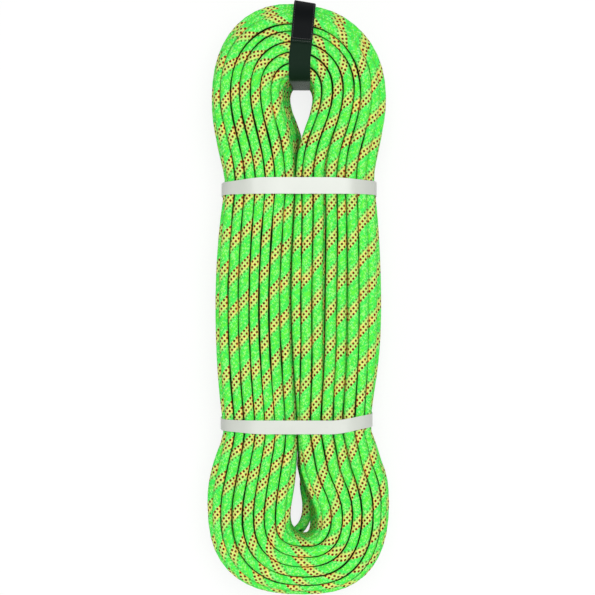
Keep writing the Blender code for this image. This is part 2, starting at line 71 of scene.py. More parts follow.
lens = bpy.data.cameras.new("camera")
lens.lens = lens.sensor_width * (CAMERA_HEIGHT - HALF_DEPTH) / VIEW_WIDTH
lens.clip_start, lens.clip_end = 0.05, 50.0
camera = bpy.data.objects.new("camera", lens)
camera.location = (CAMERA_X, CAMERA_Y, CAMERA_HEIGHT)
scene.collection.objects.link(camera)
scene.camera = camera


# ================================================================ the rope
# One single rope with a braided sheath, wound loop on loop. The loops form two bundles that
# touch at the waist and part round an eye at each end. It is wound from the inside out: three
# buried layers, then the layer that shows, and its free end lies on the back of the hank.
ROPE_DIAMETER = 0.0098
ROPE_LENGTH = 60.0
SURFACE_TURNS = 26            # loops in the layer that shows
BURIED_TURNS = (17.5, 9.5, 3.0)   # loops in each layer under it, outermost first
LAYER_DEPTH = 0.0092          # from layer to layer, as turns lie in each other's hollows
EYE_CORNER = 0.012            # a bundle's corner radii, at the middle of the rope: at an eye,
WAIST_CORNER = 0.0035         # where the bundles touch,
OUTER_CORNER = 0.019          # on the outside,
END_CORNER = 0.026            # and on the outside at the hank's lower end
TIGHT_PITCH = 0.00978         # from turn to turn where the bands press them together
END_HEIGHTS = (0.0800, 0.0885)    # least and most at the ends, from middle to middle of its turns
STRAP_ROOM = 0.0016           # for the strap, under the turns at the hank's upper end
BAND_ROOM = 0.0012            # for a band, under the turns at the waist
CLEAR_OF_FLOOR = 0.0003
BAND_SIDE_ROOM = 0.0021       # for a band, at the side of the turns
UPPER_END_ROOM = 0.0022       # between the rope's ends and the box of the CAD rope
LOWER_END_ROOM = 0.0040

rope_low, rope_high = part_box("rope_outer_turns")
upper_low, upper_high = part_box("upper_band")
lower_low, lower_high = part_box("lower_band")
sleeve_low, sleeve_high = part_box("rope_end_sleeve")
sleeve_middle = (sleeve_low + sleeve_high) / 2
UPPER_BAND_Y = (upper_low.y + upper_high.y) / 2
LOWER_BAND_Y = (lower_low.y + lower_high.y) / 2
WAIST = (upper_high.x - upper_low.x) / 2 - BAND_SIDE_ROOM   # half the rope's width under a band
LOWER_WAIST = WAIST - 0.0012      # and under the lower one,
LEFT_MIDDLE = WAIST + 0.0083      # and at the bulge between the bands
RIGHT_MIDDLE = WAIST + 0.0099
UPPER_OFFSET = 0.0020         # how far the waist lies to the right at each band
LOWER_OFFSET = -0.0004
PARTING_BOW = -0.0055         # how far the line between the bundles bows to the left
PARTING_POWER = 1.5
UPPER_PARTING = -0.0028       # and where it lies at each band
LOWER_PARTING = -0.0012
TOUCHING = 0.0002             # half the air between the two bundles
WEAVE = 0.0017                # how far that line wavers through the hank's thickness
BAND_EDGE = 0.0082            # from a band's middle to where the bundles start to spread
BULGE_POWER = 0.55            # how square the bulge between the bands is: less is squarer
RIGHT_BULGE_POWER = 1.40      # and on the right at its lower end,
RIGHT_BULGE_DROP = 0.85       # falling by so much
RIGHT_BULGE_REACH = 0.55      # in this share of the way up

# Past its own y each end of the hank is half an oval. Its left and right quarters differ, and x
# is where they meet.
UPPER_LOBE = {
    "x": -0.0053, "half": {-1: 0.0814, 1: 0.0832}, "depth": 0.0887,
    "flare": {-1: 0.76, 1: 1.05}, "power": {-1: 2.18, 1: 2.21},
}
LOWER_LOBE = {
    "x": 0.0058, "half": {-1: 0.0865, 1: 0.0863}, "depth": 0.0892,
    "flare": {-1: 0.95, 1: 0.64}, "power": {-1: 2.70, 1: 2.42},
}
UPPER_LOBE["y"] = rope_high.y - UPPER_END_ROOM - UPPER_LOBE["depth"]
LOWER_LOBE["y"] = rope_low.y + LOWER_END_ROOM + LOWER_LOBE["depth"]
STRAP_DENT = {"x": 0.0115, "reach": 0.0125, "depth": 0.0018}   # that the strap pulls into the end

# An eye is a half oval past its own y, and narrows from there to where it is shut. The bundle
# on its leaning side slants: its back turns stand further into the eye than its front ones.
UPPER_EYE = {
    "x": 0.0002, "half": {-1: 0.0168, 1: 0.0142}, "depth": 0.0165, "thick": 0.0717,
    "shut": 0.1305, "leaning": -1, "lean_at": (0.162, 0.172, 0.182, 0.195),
    "lean": (0.0168, 0.0130, 0.0106, 0.0100), "end_lean": 0.0020,
}
LOWER_EYE = {
    "x": 0.0065, "half": {-1: 0.0135, 1: 0.0135}, "depth": 0.0150, "thick": 0.0605,
    "shut": -0.1620, "leaning": 1, "lean_at": (-0.166, -0.180, -0.215),
    "lean": (0.0064, 0.0072, 0.0104), "end_lean": -0.0060,
}
UPPER_EYE["y"] = rope_high.y - UPPER_EYE["thick"] - UPPER_EYE["depth"]
LOWER_EYE["y"] = rope_low.y + LOWER_EYE["thick"] + LOWER_EYE["depth"]
EYE_POWER = 2.4
EYE_TURN = 0.35               # how far the points round an eye's end move towards its tip
UPPER_OPENING = 1.7           # how late an eye opens past where it is shut: more is later
LOWER_OPENING = {-1: 1.5, 1: 0.6}
CLOSING = 0.0045              # more lean, so that the back turns shut an eye's narrow end,
CLOSING_REACH = 0.012         # and from how far before it

LOBE_STEPS, NECK_STEPS, MIDDLE_STEPS = 11, 7, 13
LOOP_START = -0.032           # the y where a loop starts, in the right bundle


def ease(share):
    """Rises from 0 to 1 with level ends."""
    share = np.clip(share, 0.0, 1.0)
    return share * share * (3 - 2 * share)


def oval(half, depth, power, angle):
    """A point of a squarish quarter oval."""
    return half * np.cos(angle) ** (2 / power), depth * np.sin(angle) ** (2 / power)


def half_side(lobe, eye, band_y, parting, side, way):
    """Sections of one bundle from a band to the middle of the hank's end, as rows of inner x and
    y, outer x and y, height of the back turns, lean, and how far the eye has opened. `way` is +1
    upwards and -1 downwards."""
    rows = []
    edge = band_y + way * BAND_EDGE
    start = parting + side * TOUCHING
    for k in range(NECK_STEPS):
        share = k / NECK_STEPS
        inner_y = edge + (eye["y"] - edge) * share
        outer_y = edge + (lobe["y"] - edge) * share
        opening = np.clip((inner_y - eye["shut"]) / (eye["y"] - eye["shut"]), 0, 1)
        if way > 0:
            opened = math.sin(math.pi / 2 * opening) ** UPPER_OPENING
            waist = side * WAIST + UPPER_OFFSET
        else:
            opened = ease(opening) ** LOWER_OPENING[side]
            waist = side * LOWER_WAIST + LOWER_OFFSET
        inner_x = start + (eye["x"] + side * eye["half"][side] - start) * opened
        widest = side * lobe["half"][side]
        outer_x = waist + (widest - waist) * math.sin(math.pi / 2 * share) ** lobe["flare"][side]
        back = BAND_ROOM + (CLEAR_OF_FLOOR - BAND_ROOM) * ease(share * 3)
        lean = lean_of(eye, side, way, inner_y, opened)
        rows.append((inner_x, inner_y, outer_x, outer_y, back, lean, opened))
    for k in range(LOBE_STEPS + 1):
        share = k / LOBE_STEPS
        angle = math.pi / 2 * share
        outer_x, rise = oval(lobe["half"][side], lobe["depth"], lobe["power"][side], angle)
        outer_x = side * outer_x + lobe["x"] * math.sin(angle) ** 2
        dent = STRAP_DENT["depth"] * math.exp(-((outer_x - STRAP_DENT["x"]) / STRAP_DENT["reach"]) ** 2)
        rise -= dent * (way > 0) * share ** 2
        turned = angle + EYE_TURN * math.sin(2 * angle)
        eye_x, eye_rise = oval(eye["half"][side], eye["depth"], EYE_POWER, turned)
        back = CLEAR_OF_FLOOR + (STRAP_ROOM - CLEAR_OF_FLOOR) * ease(share * 2 - 1) * (way > 0)
        lean = lean_of(eye, side, way, eye["y"], 1.0)
        rows.append((
            eye["x"] + side * eye_x, eye["y"] + way * eye_rise, outer_x, lobe["y"] + way * rise,
            back, lean + (eye["end_lean"] - lean) * ease(share), 1.0,
        ))
    return rows


def lean_of(eye, side, way, y, opened):
    """How far the back turns stand into the eye beyond the front ones, which is never so far
    that they pass the other bundle."""
    if side != eye["leaning"]:
        return 0.0
    wanted = np.interp(way * y, [way * place for place in eye["lean_at"]], eye["lean"])
    spread = (eye["half"][-1] + eye["half"][1]) * opened
    near = ease(1 + way * (y - eye["shut"]) / CLOSING_REACH)
    return min(wanted, spread + CLOSING * near)


def bundle_sections():
    """Every section of a loop. The first is the lower bulge of the right bundle, facing up."""
    sides = {}
    low, high = LOWER_BAND_Y - BAND_EDGE, UPPER_BAND_Y + BAND_EDGE
    for side in (1, -1):
        upper = half_side(UPPER_LOBE, UPPER_EYE, UPPER_BAND_Y, UPPER_PARTING, side, 1)
        lower = half_side(LOWER_LOBE, LOWER_EYE, LOWER_BAND_Y, LOWER_PARTING, side, -1)
        middle = []
        for k in range(1, MIDDLE_STEPS):
            y = low + (high - low) * k / MIDDLE_STEPS
            share = np.clip((y - LOWER_BAND_Y) / (UPPER_BAND_Y - LOWER_BAND_Y), 0, 1)
            waist = side * (LOWER_WAIST + (WAIST - LOWER_WAIST) * share)
            waist += LOWER_OFFSET + (UPPER_OFFSET - LOWER_OFFSET) * share
            bulge, power = -LEFT_MIDDLE, BULGE_POWER
            if side > 0:
                bulge = RIGHT_MIDDLE
                power = RIGHT_BULGE_POWER - RIGHT_BULGE_DROP * ease(share / RIGHT_BULGE_REACH)
            outer_x = waist + (bulge - waist) * math.sin(math.pi * share) ** power
            parted = LOWER_PARTING + (UPPER_PARTING - LOWER_PARTING) * share
            parted += side * TOUCHING + PARTING_BOW * math.sin(math.pi * share) ** PARTING_POWER
            middle.append((parted, y, outer_x, y, BAND_ROOM, 0.0, 0.0))
        sides[side] = lower[::-1] + middle + upper
    right, left = sides[1], sides[-1][::-1]
    loop = right[:-1] + left[:-1]
    first = next(k for k, row in enumerate(loop) if row[1] > LOOP_START and k < len(right))
    return np.array(loop[first:] + loop[:first])


HEIGHT_ROUNDS = 60            # of smoothing the height from section to section
sections = bundle_sections()
COUNT = len(sections)
inner, outer, back, lean, opened = (
    sections[:, 0:2], sections[:, 2:4], sections[:, 4], sections[:, 5], sections[:, 6]
)
middle = (inner + outer) / 2
breadth = np.linalg.norm(outer - inner, axis=1)
across = (outer - inner) / breadth[:, None]
run = np.roll(middle, -1, axis=0) - np.roll(middle, 1, axis=0)
run /= np.linalg.norm(run, axis=1)[:, None]
square = np.abs(run[:, 0] * across[:, 1] - run[:, 1] * across[:, 0])
width = breadth * square - ROPE_DIAMETER
inner_corner = WAIST_CORNER + (EYE_CORNER - WAIST_CORNER) * opened
outer_corner = OUTER_CORNER + (END_CORNER - OUTER_CORNER) * opened * (middle[:, 1] < 0)
corner_cut = (4 - math.pi) * (inner_corner + OUTER_CORNER) / 2
height = SURFACE_TURNS * TIGHT_PITCH / 2 + corner_cut - width
height = np.clip(height, *END_HEIGHTS)
for _ in range(HEIGHT_ROUNDS):
    height = np.maximum(height, (np.roll(height, 1) + np.roll(height, -1)) / 2)
    height = 0.5 * height + 0.25 * (np.roll(height, 1) + np.roll(height, -1))

TIGHTEST_CORNER = 0.002       # of a buried layer
CORNER_STEPS = 8


def way_along(line):
    """How far along a line each of its points lies."""
    return np.concatenate(([0.0], np.cumsum(np.linalg.norm(np.diff(line, axis=0), axis=1))))


def ring(section, depth):
    """The closed line that one layer's turns lie on, from the middle of the back to the eye."""
    least = 2.1 * TIGHTEST_CORNER
    wide, high = width[section] - 2 * depth, height[section] - 2 * depth
    wide, high = max(wide, least), max(high, least)
    line = [(0.0, 0.0)]
    near, far = inner_corner[section], outer_corner[section]
    for toward, up, radius, start in (
        (-1, 0, near, -90), (-1, 1, near, -180),
        (1, 1, far, 90), (1, 0, far, 0),
    ):
        radius = min(max(radius - depth, TIGHTEST_CORNER), wide / 2, high / 2)
        for k in range(CORNER_STEPS + 1):
            angle = math.radians(start - 90 * k / CORNER_STEPS)
            line.append((
                toward * (wide / 2 - radius) + radius * math.cos(angle),
                (high - radius if up else radius) + radius * math.sin(angle),
            ))
    line = np.array(line + [(0.0, 0.0)])
    line[:, 1] += depth
    return line


def wind():
    """Where each point of the rope wants to lie on its section, from the buried end outwards."""
    layers = ((0.0, SURFACE_TURNS),) + tuple(
        ((k + 1) * LAYER_DEPTH, turns) for k, turns in enumerate(BURIED_TURNS)
    )
    total = sum(turns for _, turns in layers)
    steps = int(total * COUNT)
    places = np.zeros((steps, 2))
    layer_of = np.zeros(steps, int)
    lines = {}
    for step in range(steps):
        before_end = (steps - step) / COUNT
        layer = 0
        while layer < len(layers) - 1 and before_end > layers[layer][1]:
            before_end -= layers[layer][1]
            layer += 1
        depth, turns = layers[layer]
        section = (step - steps) % COUNT
        if (section, layer) not in lines:
            line = ring(section, depth)
            ways = way_along(line)
            lines[section, layer] = line, ways / ways[-1]
        line, ways = lines[section, layer]
        share = 1 - before_end / turns
        places[step] = [np.interp(share, ways, line[:, axis]) for axis in (0, 1)]
        layer_of[step] = layer
    return places, layer_of


def wander(steps, every, reach, draw):
    """A smooth random offset along the rope, too small for two turns to change places."""
    knots = draw.normal(0.0, reach, (int(steps / every) + 4, 2))
    knots = np.clip(knots, -LARGEST_WANDER, LARGEST_WANDER)
    at = np.arange(steps) / every
    whole, part = at.astype(int), ease((at % 1.0)[:, None])
    return knots[whole] * (1 - part) + knots[whole + 1] * part


WANDER = 0.0040               # how far the turns stray from even winding,
LARGEST_WANDER = 0.0045       # and at most,
WANDER_EVERY = 0.21           # changing so often along the rope, in loops
SETTLE_ROUNDS = 260
STIFFNESS = 0.35              # how much of a bend each round straightens
SURFACE_PULL = 0.10           # how much of the way to its place a round draws each turn,
BURIED_PULL = 0.02            # which fades to nothing in the buried layers,
LASTING_PULL = 0.30           # and to this share in the one that shows
PUSH = 0.45                   # how much of an overlap a round takes away
SPARE_AIR = 0.00002
FAR_AWAY = 1e3
END_STEPS = 4                 # of the free end, which keeps its place in its sleeve

target, layer_of = wind()
steps = len(target)
section_of = (np.arange(steps) - steps) % COUNT
draw = np.random.default_rng(11)
tall, wide = height[section_of], width[section_of]
# Turns beside an eye stray less across their bundle.
free = 1 - 0.9 * np.clip(0.5 - target[:, 0] / wide, 0.0, 1.0)
strayed = wander(steps, COUNT * WANDER_EVERY, WANDER, draw)
target = target + strayed * np.column_stack((free, np.ones(steps)))
places = target.copy()
loops = math.ceil(steps / COUNT)
blank = loops * COUNT - steps
pull = np.where(layer_of == 0, SURFACE_PULL, BURIED_PULL)[:, None]
hold = np.where(layer_of == 0, LASTING_PULL, 0.0)[:, None]
corners = [
    (toward, up, (inner_corner if toward < 0 else outer_corner)[section_of])
    for toward, up in ((-1, 0), (-1, 1), (1, 1), (1, 0))
]
# The sleeve lies in the middle of the right bundle's back.
end_places = np.zeros((END_STEPS, 2))
end_sections = section_of[-END_STEPS:]
end_places[:, 0] = (sleeve_middle.x - middle[end_sections, 0]) / across[end_sections, 0]
end_places[:, 0] *= square[end_sections]
for settle_round in range(SETTLE_ROUNDS):
    calm = settle_round / SETTLE_ROUNDS
    places[1:-1] += STIFFNESS * ((places[:-2] + places[2:]) / 2 - places[1:-1])
    places += pull * (1 - calm * (1 - hold)) * (target - places)
    grid = np.full((loops * COUNT, 2), FAR_AWAY)
    grid[blank:] = places
    grid[:blank, 0] = np.arange(blank) + 5.0      # not wound, so out of the way
    grid = grid.reshape(loops, COUNT, 2).transpose(1, 0, 2)
    apart = grid[:, :, None, :] - grid[:, None, :, :]
    away = np.linalg.norm(apart, axis=3)
    away[:, np.arange(loops), np.arange(loops)] = 1.0
    short = np.clip(ROPE_DIAMETER + SPARE_AIR - away, 0.0, None)
    push = (apart * (short / away)[..., None]).sum(axis=2) * PUSH
    places += push.transpose(1, 0, 2).reshape(-1, 2)[blank:]
    places[:, 0] = np.clip(places[:, 0], -wide / 2, wide / 2)
    places[:, 1] = np.clip(places[:, 1], 0.0, tall)
    for toward, up, radius in corners:
        centre_x = toward * (wide / 2 - radius)
        centre_z = tall - radius if up else radius
        off_x, off_z = places[:, 0] - centre_x, places[:, 1] - centre_z
        beyond = (off_x * toward > 0) & (off_z * (2 * up - 1) > 0)
        reach = np.hypot(off_x, off_z)
        scale = np.where(beyond & (reach > radius), radius / np.maximum(reach, 1e-9), 1.0)
        places[:, 0], places[:, 1] = centre_x + off_x * scale, centre_z + off_z * scale
    places[-END_STEPS:] = end_places

WEAVE_WAVES = (0.031, 0.0173)     # lengths of the two waves in the line between the bundles

sideways = places[:, 0] / square[section_of]
near_eye = np.clip(0.5 - places[:, 0] / np.maximum(wide, 1e-6), 0.0, 1.0)
sideways = sideways - lean[section_of] * (1 - places[:, 1] / tall) * near_eye
wave = np.sin(places[:, 1] * 2 * math.pi / WEAVE_WAVES[0] + 1.1)
wave = wave + 0.5 * np.sin(places[:, 1] * 2 * math.pi / WEAVE_WAVES[1])
outwards = np.sign(across[section_of, 0])
sideways = sideways + outwards * WEAVE * wave * near_eye ** 2 * (1 - opened[section_of])
route = np.zeros((steps, 3))
route[:, :2] = middle[section_of] + across[section_of] * sideways[:, None]
route[:, 2] = back[section_of] + ROPE_DIAMETER / 2 + places[:, 1]

FINE_STEPS = 200


def smooth_path(points, count):
    """Evenly spaced points on a smooth curve through the given ones."""
    points = np.array(points)
    way = way_along(points)
    slopes = np.gradient(points, way, axis=0)
    at = np.linspace(0, way[-1], FINE_STEPS)
    span = np.clip(np.searchsorted(way, at) - 1, 0, len(way) - 2)
    length = (way[span + 1] - way[span])[:, None]
    t = (at - way[span])[:, None] / length
    curve = (
        (2 * t**3 - 3 * t**2 + 1) * points[span] + (t**3 - 2 * t**2 + t) * length * slopes[span]
        + (3 * t**2 - 2 * t**3) * points[span + 1] + (t**3 - t**2) * length * slopes[span + 1]
    )
    gone = way_along(curve)
    even = np.linspace(0, gone[-1], count)
    return np.column_stack([np.interp(even, gone, curve[:, axis]) for axis in (0, 1)])


# At the lower eye one back turn has slipped inwards, clear of its neighbours.
STRAY_PATH = (
    (-0.0024, -0.2296), (0.0041, -0.2233), (0.0083, -0.2133), (0.0091, -0.2010), (0.0064, -0.1836),
)
STRAY_Y = -0.2                # near which the turn is picked
STRAY_JOIN = 5                # steps from there to where it is back in its place
beside = min(range(COUNT), key=lambda k: abs(inner[k, 1] - STRAY_Y) + (inner[k, 0] < 0))
turn_there = [k for k in range(steps - 3 * COUNT // 2) if section_of[k] == beside and layer_of[k] == 0]
stray = min(turn_there, key=lambda k: places[k, 0] + 1.2 * places[k, 1])
leaves, joins = stray - LOBE_STEPS - STRAY_JOIN, stray + STRAY_JOIN
ends = route[[leaves, leaves + 1, joins - 1, joins], :2]
route[leaves:joins + 1, :2] = smooth_path((*ends[:2], *STRAY_PATH, *ends[2:]), joins - leaves + 1)
for _ in range(2):
    route[1:-1] += 0.25 * ((route[:-2] + route[2:]) / 2 - route[1:-1])

# The free end is cut just past its sleeve, and the buried end where the rope has its length.
TIP_BEYOND_SLEEVE = 0.0030
LEAST_STEP = 0.002            # from a cut end to the next point
tip_y = sleeve_high.y + TIP_BEYOND_SLEEVE
last = max(k for k in range(steps - COUNT // 3, steps) if route[k, 1] < tip_y - LEAST_STEP)
cut = (tip_y - route[last, 1]) / (route[last + 1, 1] - route[last, 1])
route = np.vstack((route[:last + 1], route[last] + (route[last + 1] - route[last]) * cut))
unused = steps - len(route)
lengths = np.linalg.norm(np.diff(route, axis=0), axis=1)
to_end = np.concatenate((np.cumsum(lengths[::-1])[::-1], [0.0]))
first = int(np.searchsorted(-to_end, -ROPE_LENGTH)) - 1
cut = (to_end[first] - ROPE_LENGTH) / (to_end[first] - to_end[first + 1])
begin = route[first] + (route[first + 1] - route[first]) * cut
first += 1 + int(ROPE_LENGTH - to_end[first + 1] < LEAST_STEP)
route = np.vstack((begin, route[first:]))


def operator(operation, other_first=False):
    """What a sign such as * does between the output of a node and something else."""
    def work_out(value, other):
        pair = (other, value) if other_first else (value, other)
        return value.nodes.math(operation, *pair)
    return work_out


class Value:
    """The output of a node. Each of Python's signs on it adds the math node it stands for."""

    def __init__(self, nodes, socket):
        self.nodes, self.socket = nodes, socket

    __add__, __sub__ = operator("ADD"), operator("SUBTRACT")
    __rsub__ = operator("SUBTRACT", other_first=True)
    __mul__, __truediv__ = operator("MULTIPLY"), operator("DIVIDE")
    __mod__, __pow__ = operator("FLOORED_MODULO"), operator("POWER")
    __gt__, __lt__ = operator("GREATER_THAN"), operator("LESS_THAN")


class Nodes:
    """Adds nodes to a tree. What goes into one is a plain value or the output of another."""

    def __init__(self, tree):
        self.tree = tree

    def feed(self, socket, value):
        if isinstance(value, Value):
            self.tree.links.new(value.socket, socket)
        elif value is not None:
            socket.default_value = value

    def add(self, kind, inputs=None, output=0, **settings):
        node = self.tree.nodes.new(kind)
        for name, value in settings.items():
            setattr(node, name, value)
        for name, value in (inputs or {}).items():
            self.feed(node.inputs[name], value)
        return Value(self, node.outputs[output])

    def math(self, operation, *values):
        return self.add("ShaderNodeMath", dict(enumerate(values)), operation=operation)


class Shaping(Nodes):
    """A Geometry Nodes tree that takes geometry, the given sizes and a material."""

    def __init__(self, name, **sizes):
        super().__init__(bpy.data.node_groups.new(name, "GeometryNodeTree"))
        for label, kind in {"Geometry": "Geometry", **sizes, "Material": "Material"}.items():
            self.tree.interface.new_socket(label, in_out="INPUT", socket_type="NodeSocket" + kind)
        self.tree.interface.new_socket(
            "Geometry", in_out="OUTPUT", socket_type="NodeSocketGeometry")
        sockets = self.tree.nodes.new("NodeGroupInput").outputs
        self.given = {socket.name: Value(self, socket) for socket in sockets}

    def note(self, geometry, name, value, kind):
        """Stores a value at each point under a name that a material can read."""
        inputs = {"Geometry": geometry, "Name": name, "Value": value}
        return self.add("GeometryNodeStoreNamedAttribute", inputs, data_type=kind, domain="POINT")

    def sweep(self, line, section):
        """A smooth tube with closed ends."""
        inputs = {"Curve": line, "Profile Curve": section, "Fill Caps": True}
        tube = self.add("GeometryNodeCurveToMesh", inputs)
        return self.add("GeometryNodeSetShadeSmooth", {"Geometry": tube})

    def end(self, geometry):
        real = self.add("GeometryNodeRealizeInstances", {"Geometry": geometry})
        inputs = {"Geometry": real, "Material": self.given["Material"]}
        painted = self.add("GeometryNodeSetMaterial", inputs)
        self.feed(self.tree.nodes.new("NodeGroupOutput").inputs["Geometry"], painted)
        return self.tree


def rope_tree():
    """Sweeps a round section along the rope and notes the way along it and the side of it."""
    tree = Shaping("rope", Radius="Float", Sides="Int")
    along = tree.add("GeometryNodeSplineParameter", output="Length")
    line = tree.note(tree.given["Geometry"], "rope_along", along, "FLOAT")
    inputs = {"Resolution": tree.given["Sides"], "Radius": tree.given["Radius"]}
    circle = tree.add("GeometryNodeCurvePrimitiveCircle", inputs)
    place = tree.add("GeometryNodeInputPosition")
    side = tree.add("ShaderNodeVectorMath", {0: place}, operation="NORMALIZE")
    return tree.end(tree.sweep(line, tree.note(circle, "rope_side", side, "FLOAT_VECTOR")))


def through_tree(name, guide, tree, values):
    """Runs a guide object through a node tree and returns the result as a plain mesh object."""
    scene.collection.objects.link(guide)
    nodes = guide.modifiers.new(name, "NODES")
    nodes.node_group = tree
    for item in tree.interface.items_tree:
        if item.in_out == "INPUT" and item.name in values:
            nodes[item.identifier] = values[item.name]
    bpy.context.view_layer.update()
    graph = bpy.context.evaluated_depsgraph_get()
    mesh = bpy.data.meshes.new_from_object(guide.evaluated_get(graph))
    mesh.name = name
    bpy.data.objects.remove(guide)
    made = bpy.data.objects.new(name, mesh)
    scene.collection.objects.link(made)
    return made


def polyline(name, points):
    """A curve object with one straight-run spline through the points."""
    data = bpy.data.curves.new(name, "CURVE")
    data.dimensions = "3D"
    data.twist_mode = "Z_UP"
    spline = data.splines.new("POLY")
    spline.points.add(len(points) - 1)
    spline.points.foreach_set("co", np.column_stack((points, np.ones(len(points)))).ravel())
    return bpy.data.objects.new(name, data)


class Finish(Nodes):
    """A material. What is the same all over is set on its shader, and nodes make the rest."""

    def __init__(self, name, shader):
        self.material = bpy.data.materials.new(name)
        self.material.use_nodes = True
        super().__init__(self.material.node_tree)
        self.shader = self.tree.nodes["Principled BSDF"]
        for label, value in shader.items():
            self.shader.inputs[label].default_value = value

    def ramp(self, value, low, high):
        """Rises from 0 at low to 1 at high with level ends."""
        inputs = {"Value": value, "From Min": low, "From Max": high}
        return self.add("ShaderNodeMapRange", inputs, "Result", interpolation_type="SMOOTHSTEP")

    def mix(self, share, first, second):
        inputs = {"Factor": share, "A": first, "B": second}
        return self.add("ShaderNodeMix", inputs, "Result", data_type="RGBA")

    def attribute(self, name, output="Fac"):
        return self.add("ShaderNodeAttribute", output=output, attribute_name=name)

    def parts(self, name):
        """The first two parts of a vector that is noted on the piece."""
        vector = self.attribute(name, "Vector")
        return [self.add("ShaderNodeSeparateXYZ", {0: vector}, part) for part in "XY"]

    def noise(self, scale, detail=2.0, place=None):
        inputs = {"Scale": scale, "Detail": detail, "Vector": place}
        return self.add("ShaderNodeTexNoise", inputs, "Fac")

    def object_place(self):
        return self.add("ShaderNodeTexCoord", output="Object")

    def chance(self, *cell):
        """A random number for each cell of a pattern."""
        cell = self.add("ShaderNodeCombineXYZ", dict(enumerate(cell)))
        return self.add("ShaderNodeTexWhiteNoise", {"Vector": cell}, "Value", noise_dimensions="3D")

    def paint(self, colour):
        self.feed(self.shader.inputs["Base Color"], colour)

    def bump(self, height, strength, distance):
        inputs = {"Height": height, "Strength": strength, "Distance": distance}
        self.feed(self.shader.inputs["Normal"], self.add("ShaderNodeBump", inputs))


BRAID_PITCH = 0.0327          # one turn of a sheath yarn round the rope
YARN_PAIRS = 12               # that run each way round the sheath
MARK_REACH = 0.308            # of a tracer's mark, as a share of the way to the next one
FAINT = 0.80                  # how strong and how wide an olive mark is beside the others
YARN_RELIEF = 0.0004
# Painted shade: the sheath's colour is darkened in the low places between yarns and in the grooves
# between touching turns.
DIP_SHADE = 0.24              # of the low places between yarns
SEAM_SHADE = (0.40, 0.80)     # the depths of a groove from which it darkens and is dark
SEAM_CHANGE = 0.9             # how much that changes from place to place,
SEAM_PATCHES = 22.0           # in so many patches a metre

GREEN_COOL = (0.070, 0.92, 0.115, 1.0)
GREEN_WARM = (0.150, 0.88, 0.045, 1.0)
GREEN_TICK = (0.42, 1.00, 0.30, 1.0)
GREEN_DARK = (0.040, 0.62, 0.070, 1.0)
# the colour of the painted shade in the sheath's dips and grooves
GREEN_PAINTED_SHADE = (0.002, 0.020, 0.001, 1.0)
TRACER_PALE = (0.49, 0.83, 0.19, 1.0)
TRACER_CREAM = (0.90, 0.79, 0.22, 1.0)
TRACER_YELLOW = (0.98, 0.76, 0.15, 1.0)
TRACER_MAROON = (0.25, 0.016, 0.005, 1.0)
TRACER_BROWN = (0.075, 0.028, 0.004, 1.0)
TRACER_RED = (0.42, 0.020, 0.008, 1.0)
TRACER_OLIVE = (0.085, 0.125, 0.018, 1.0)


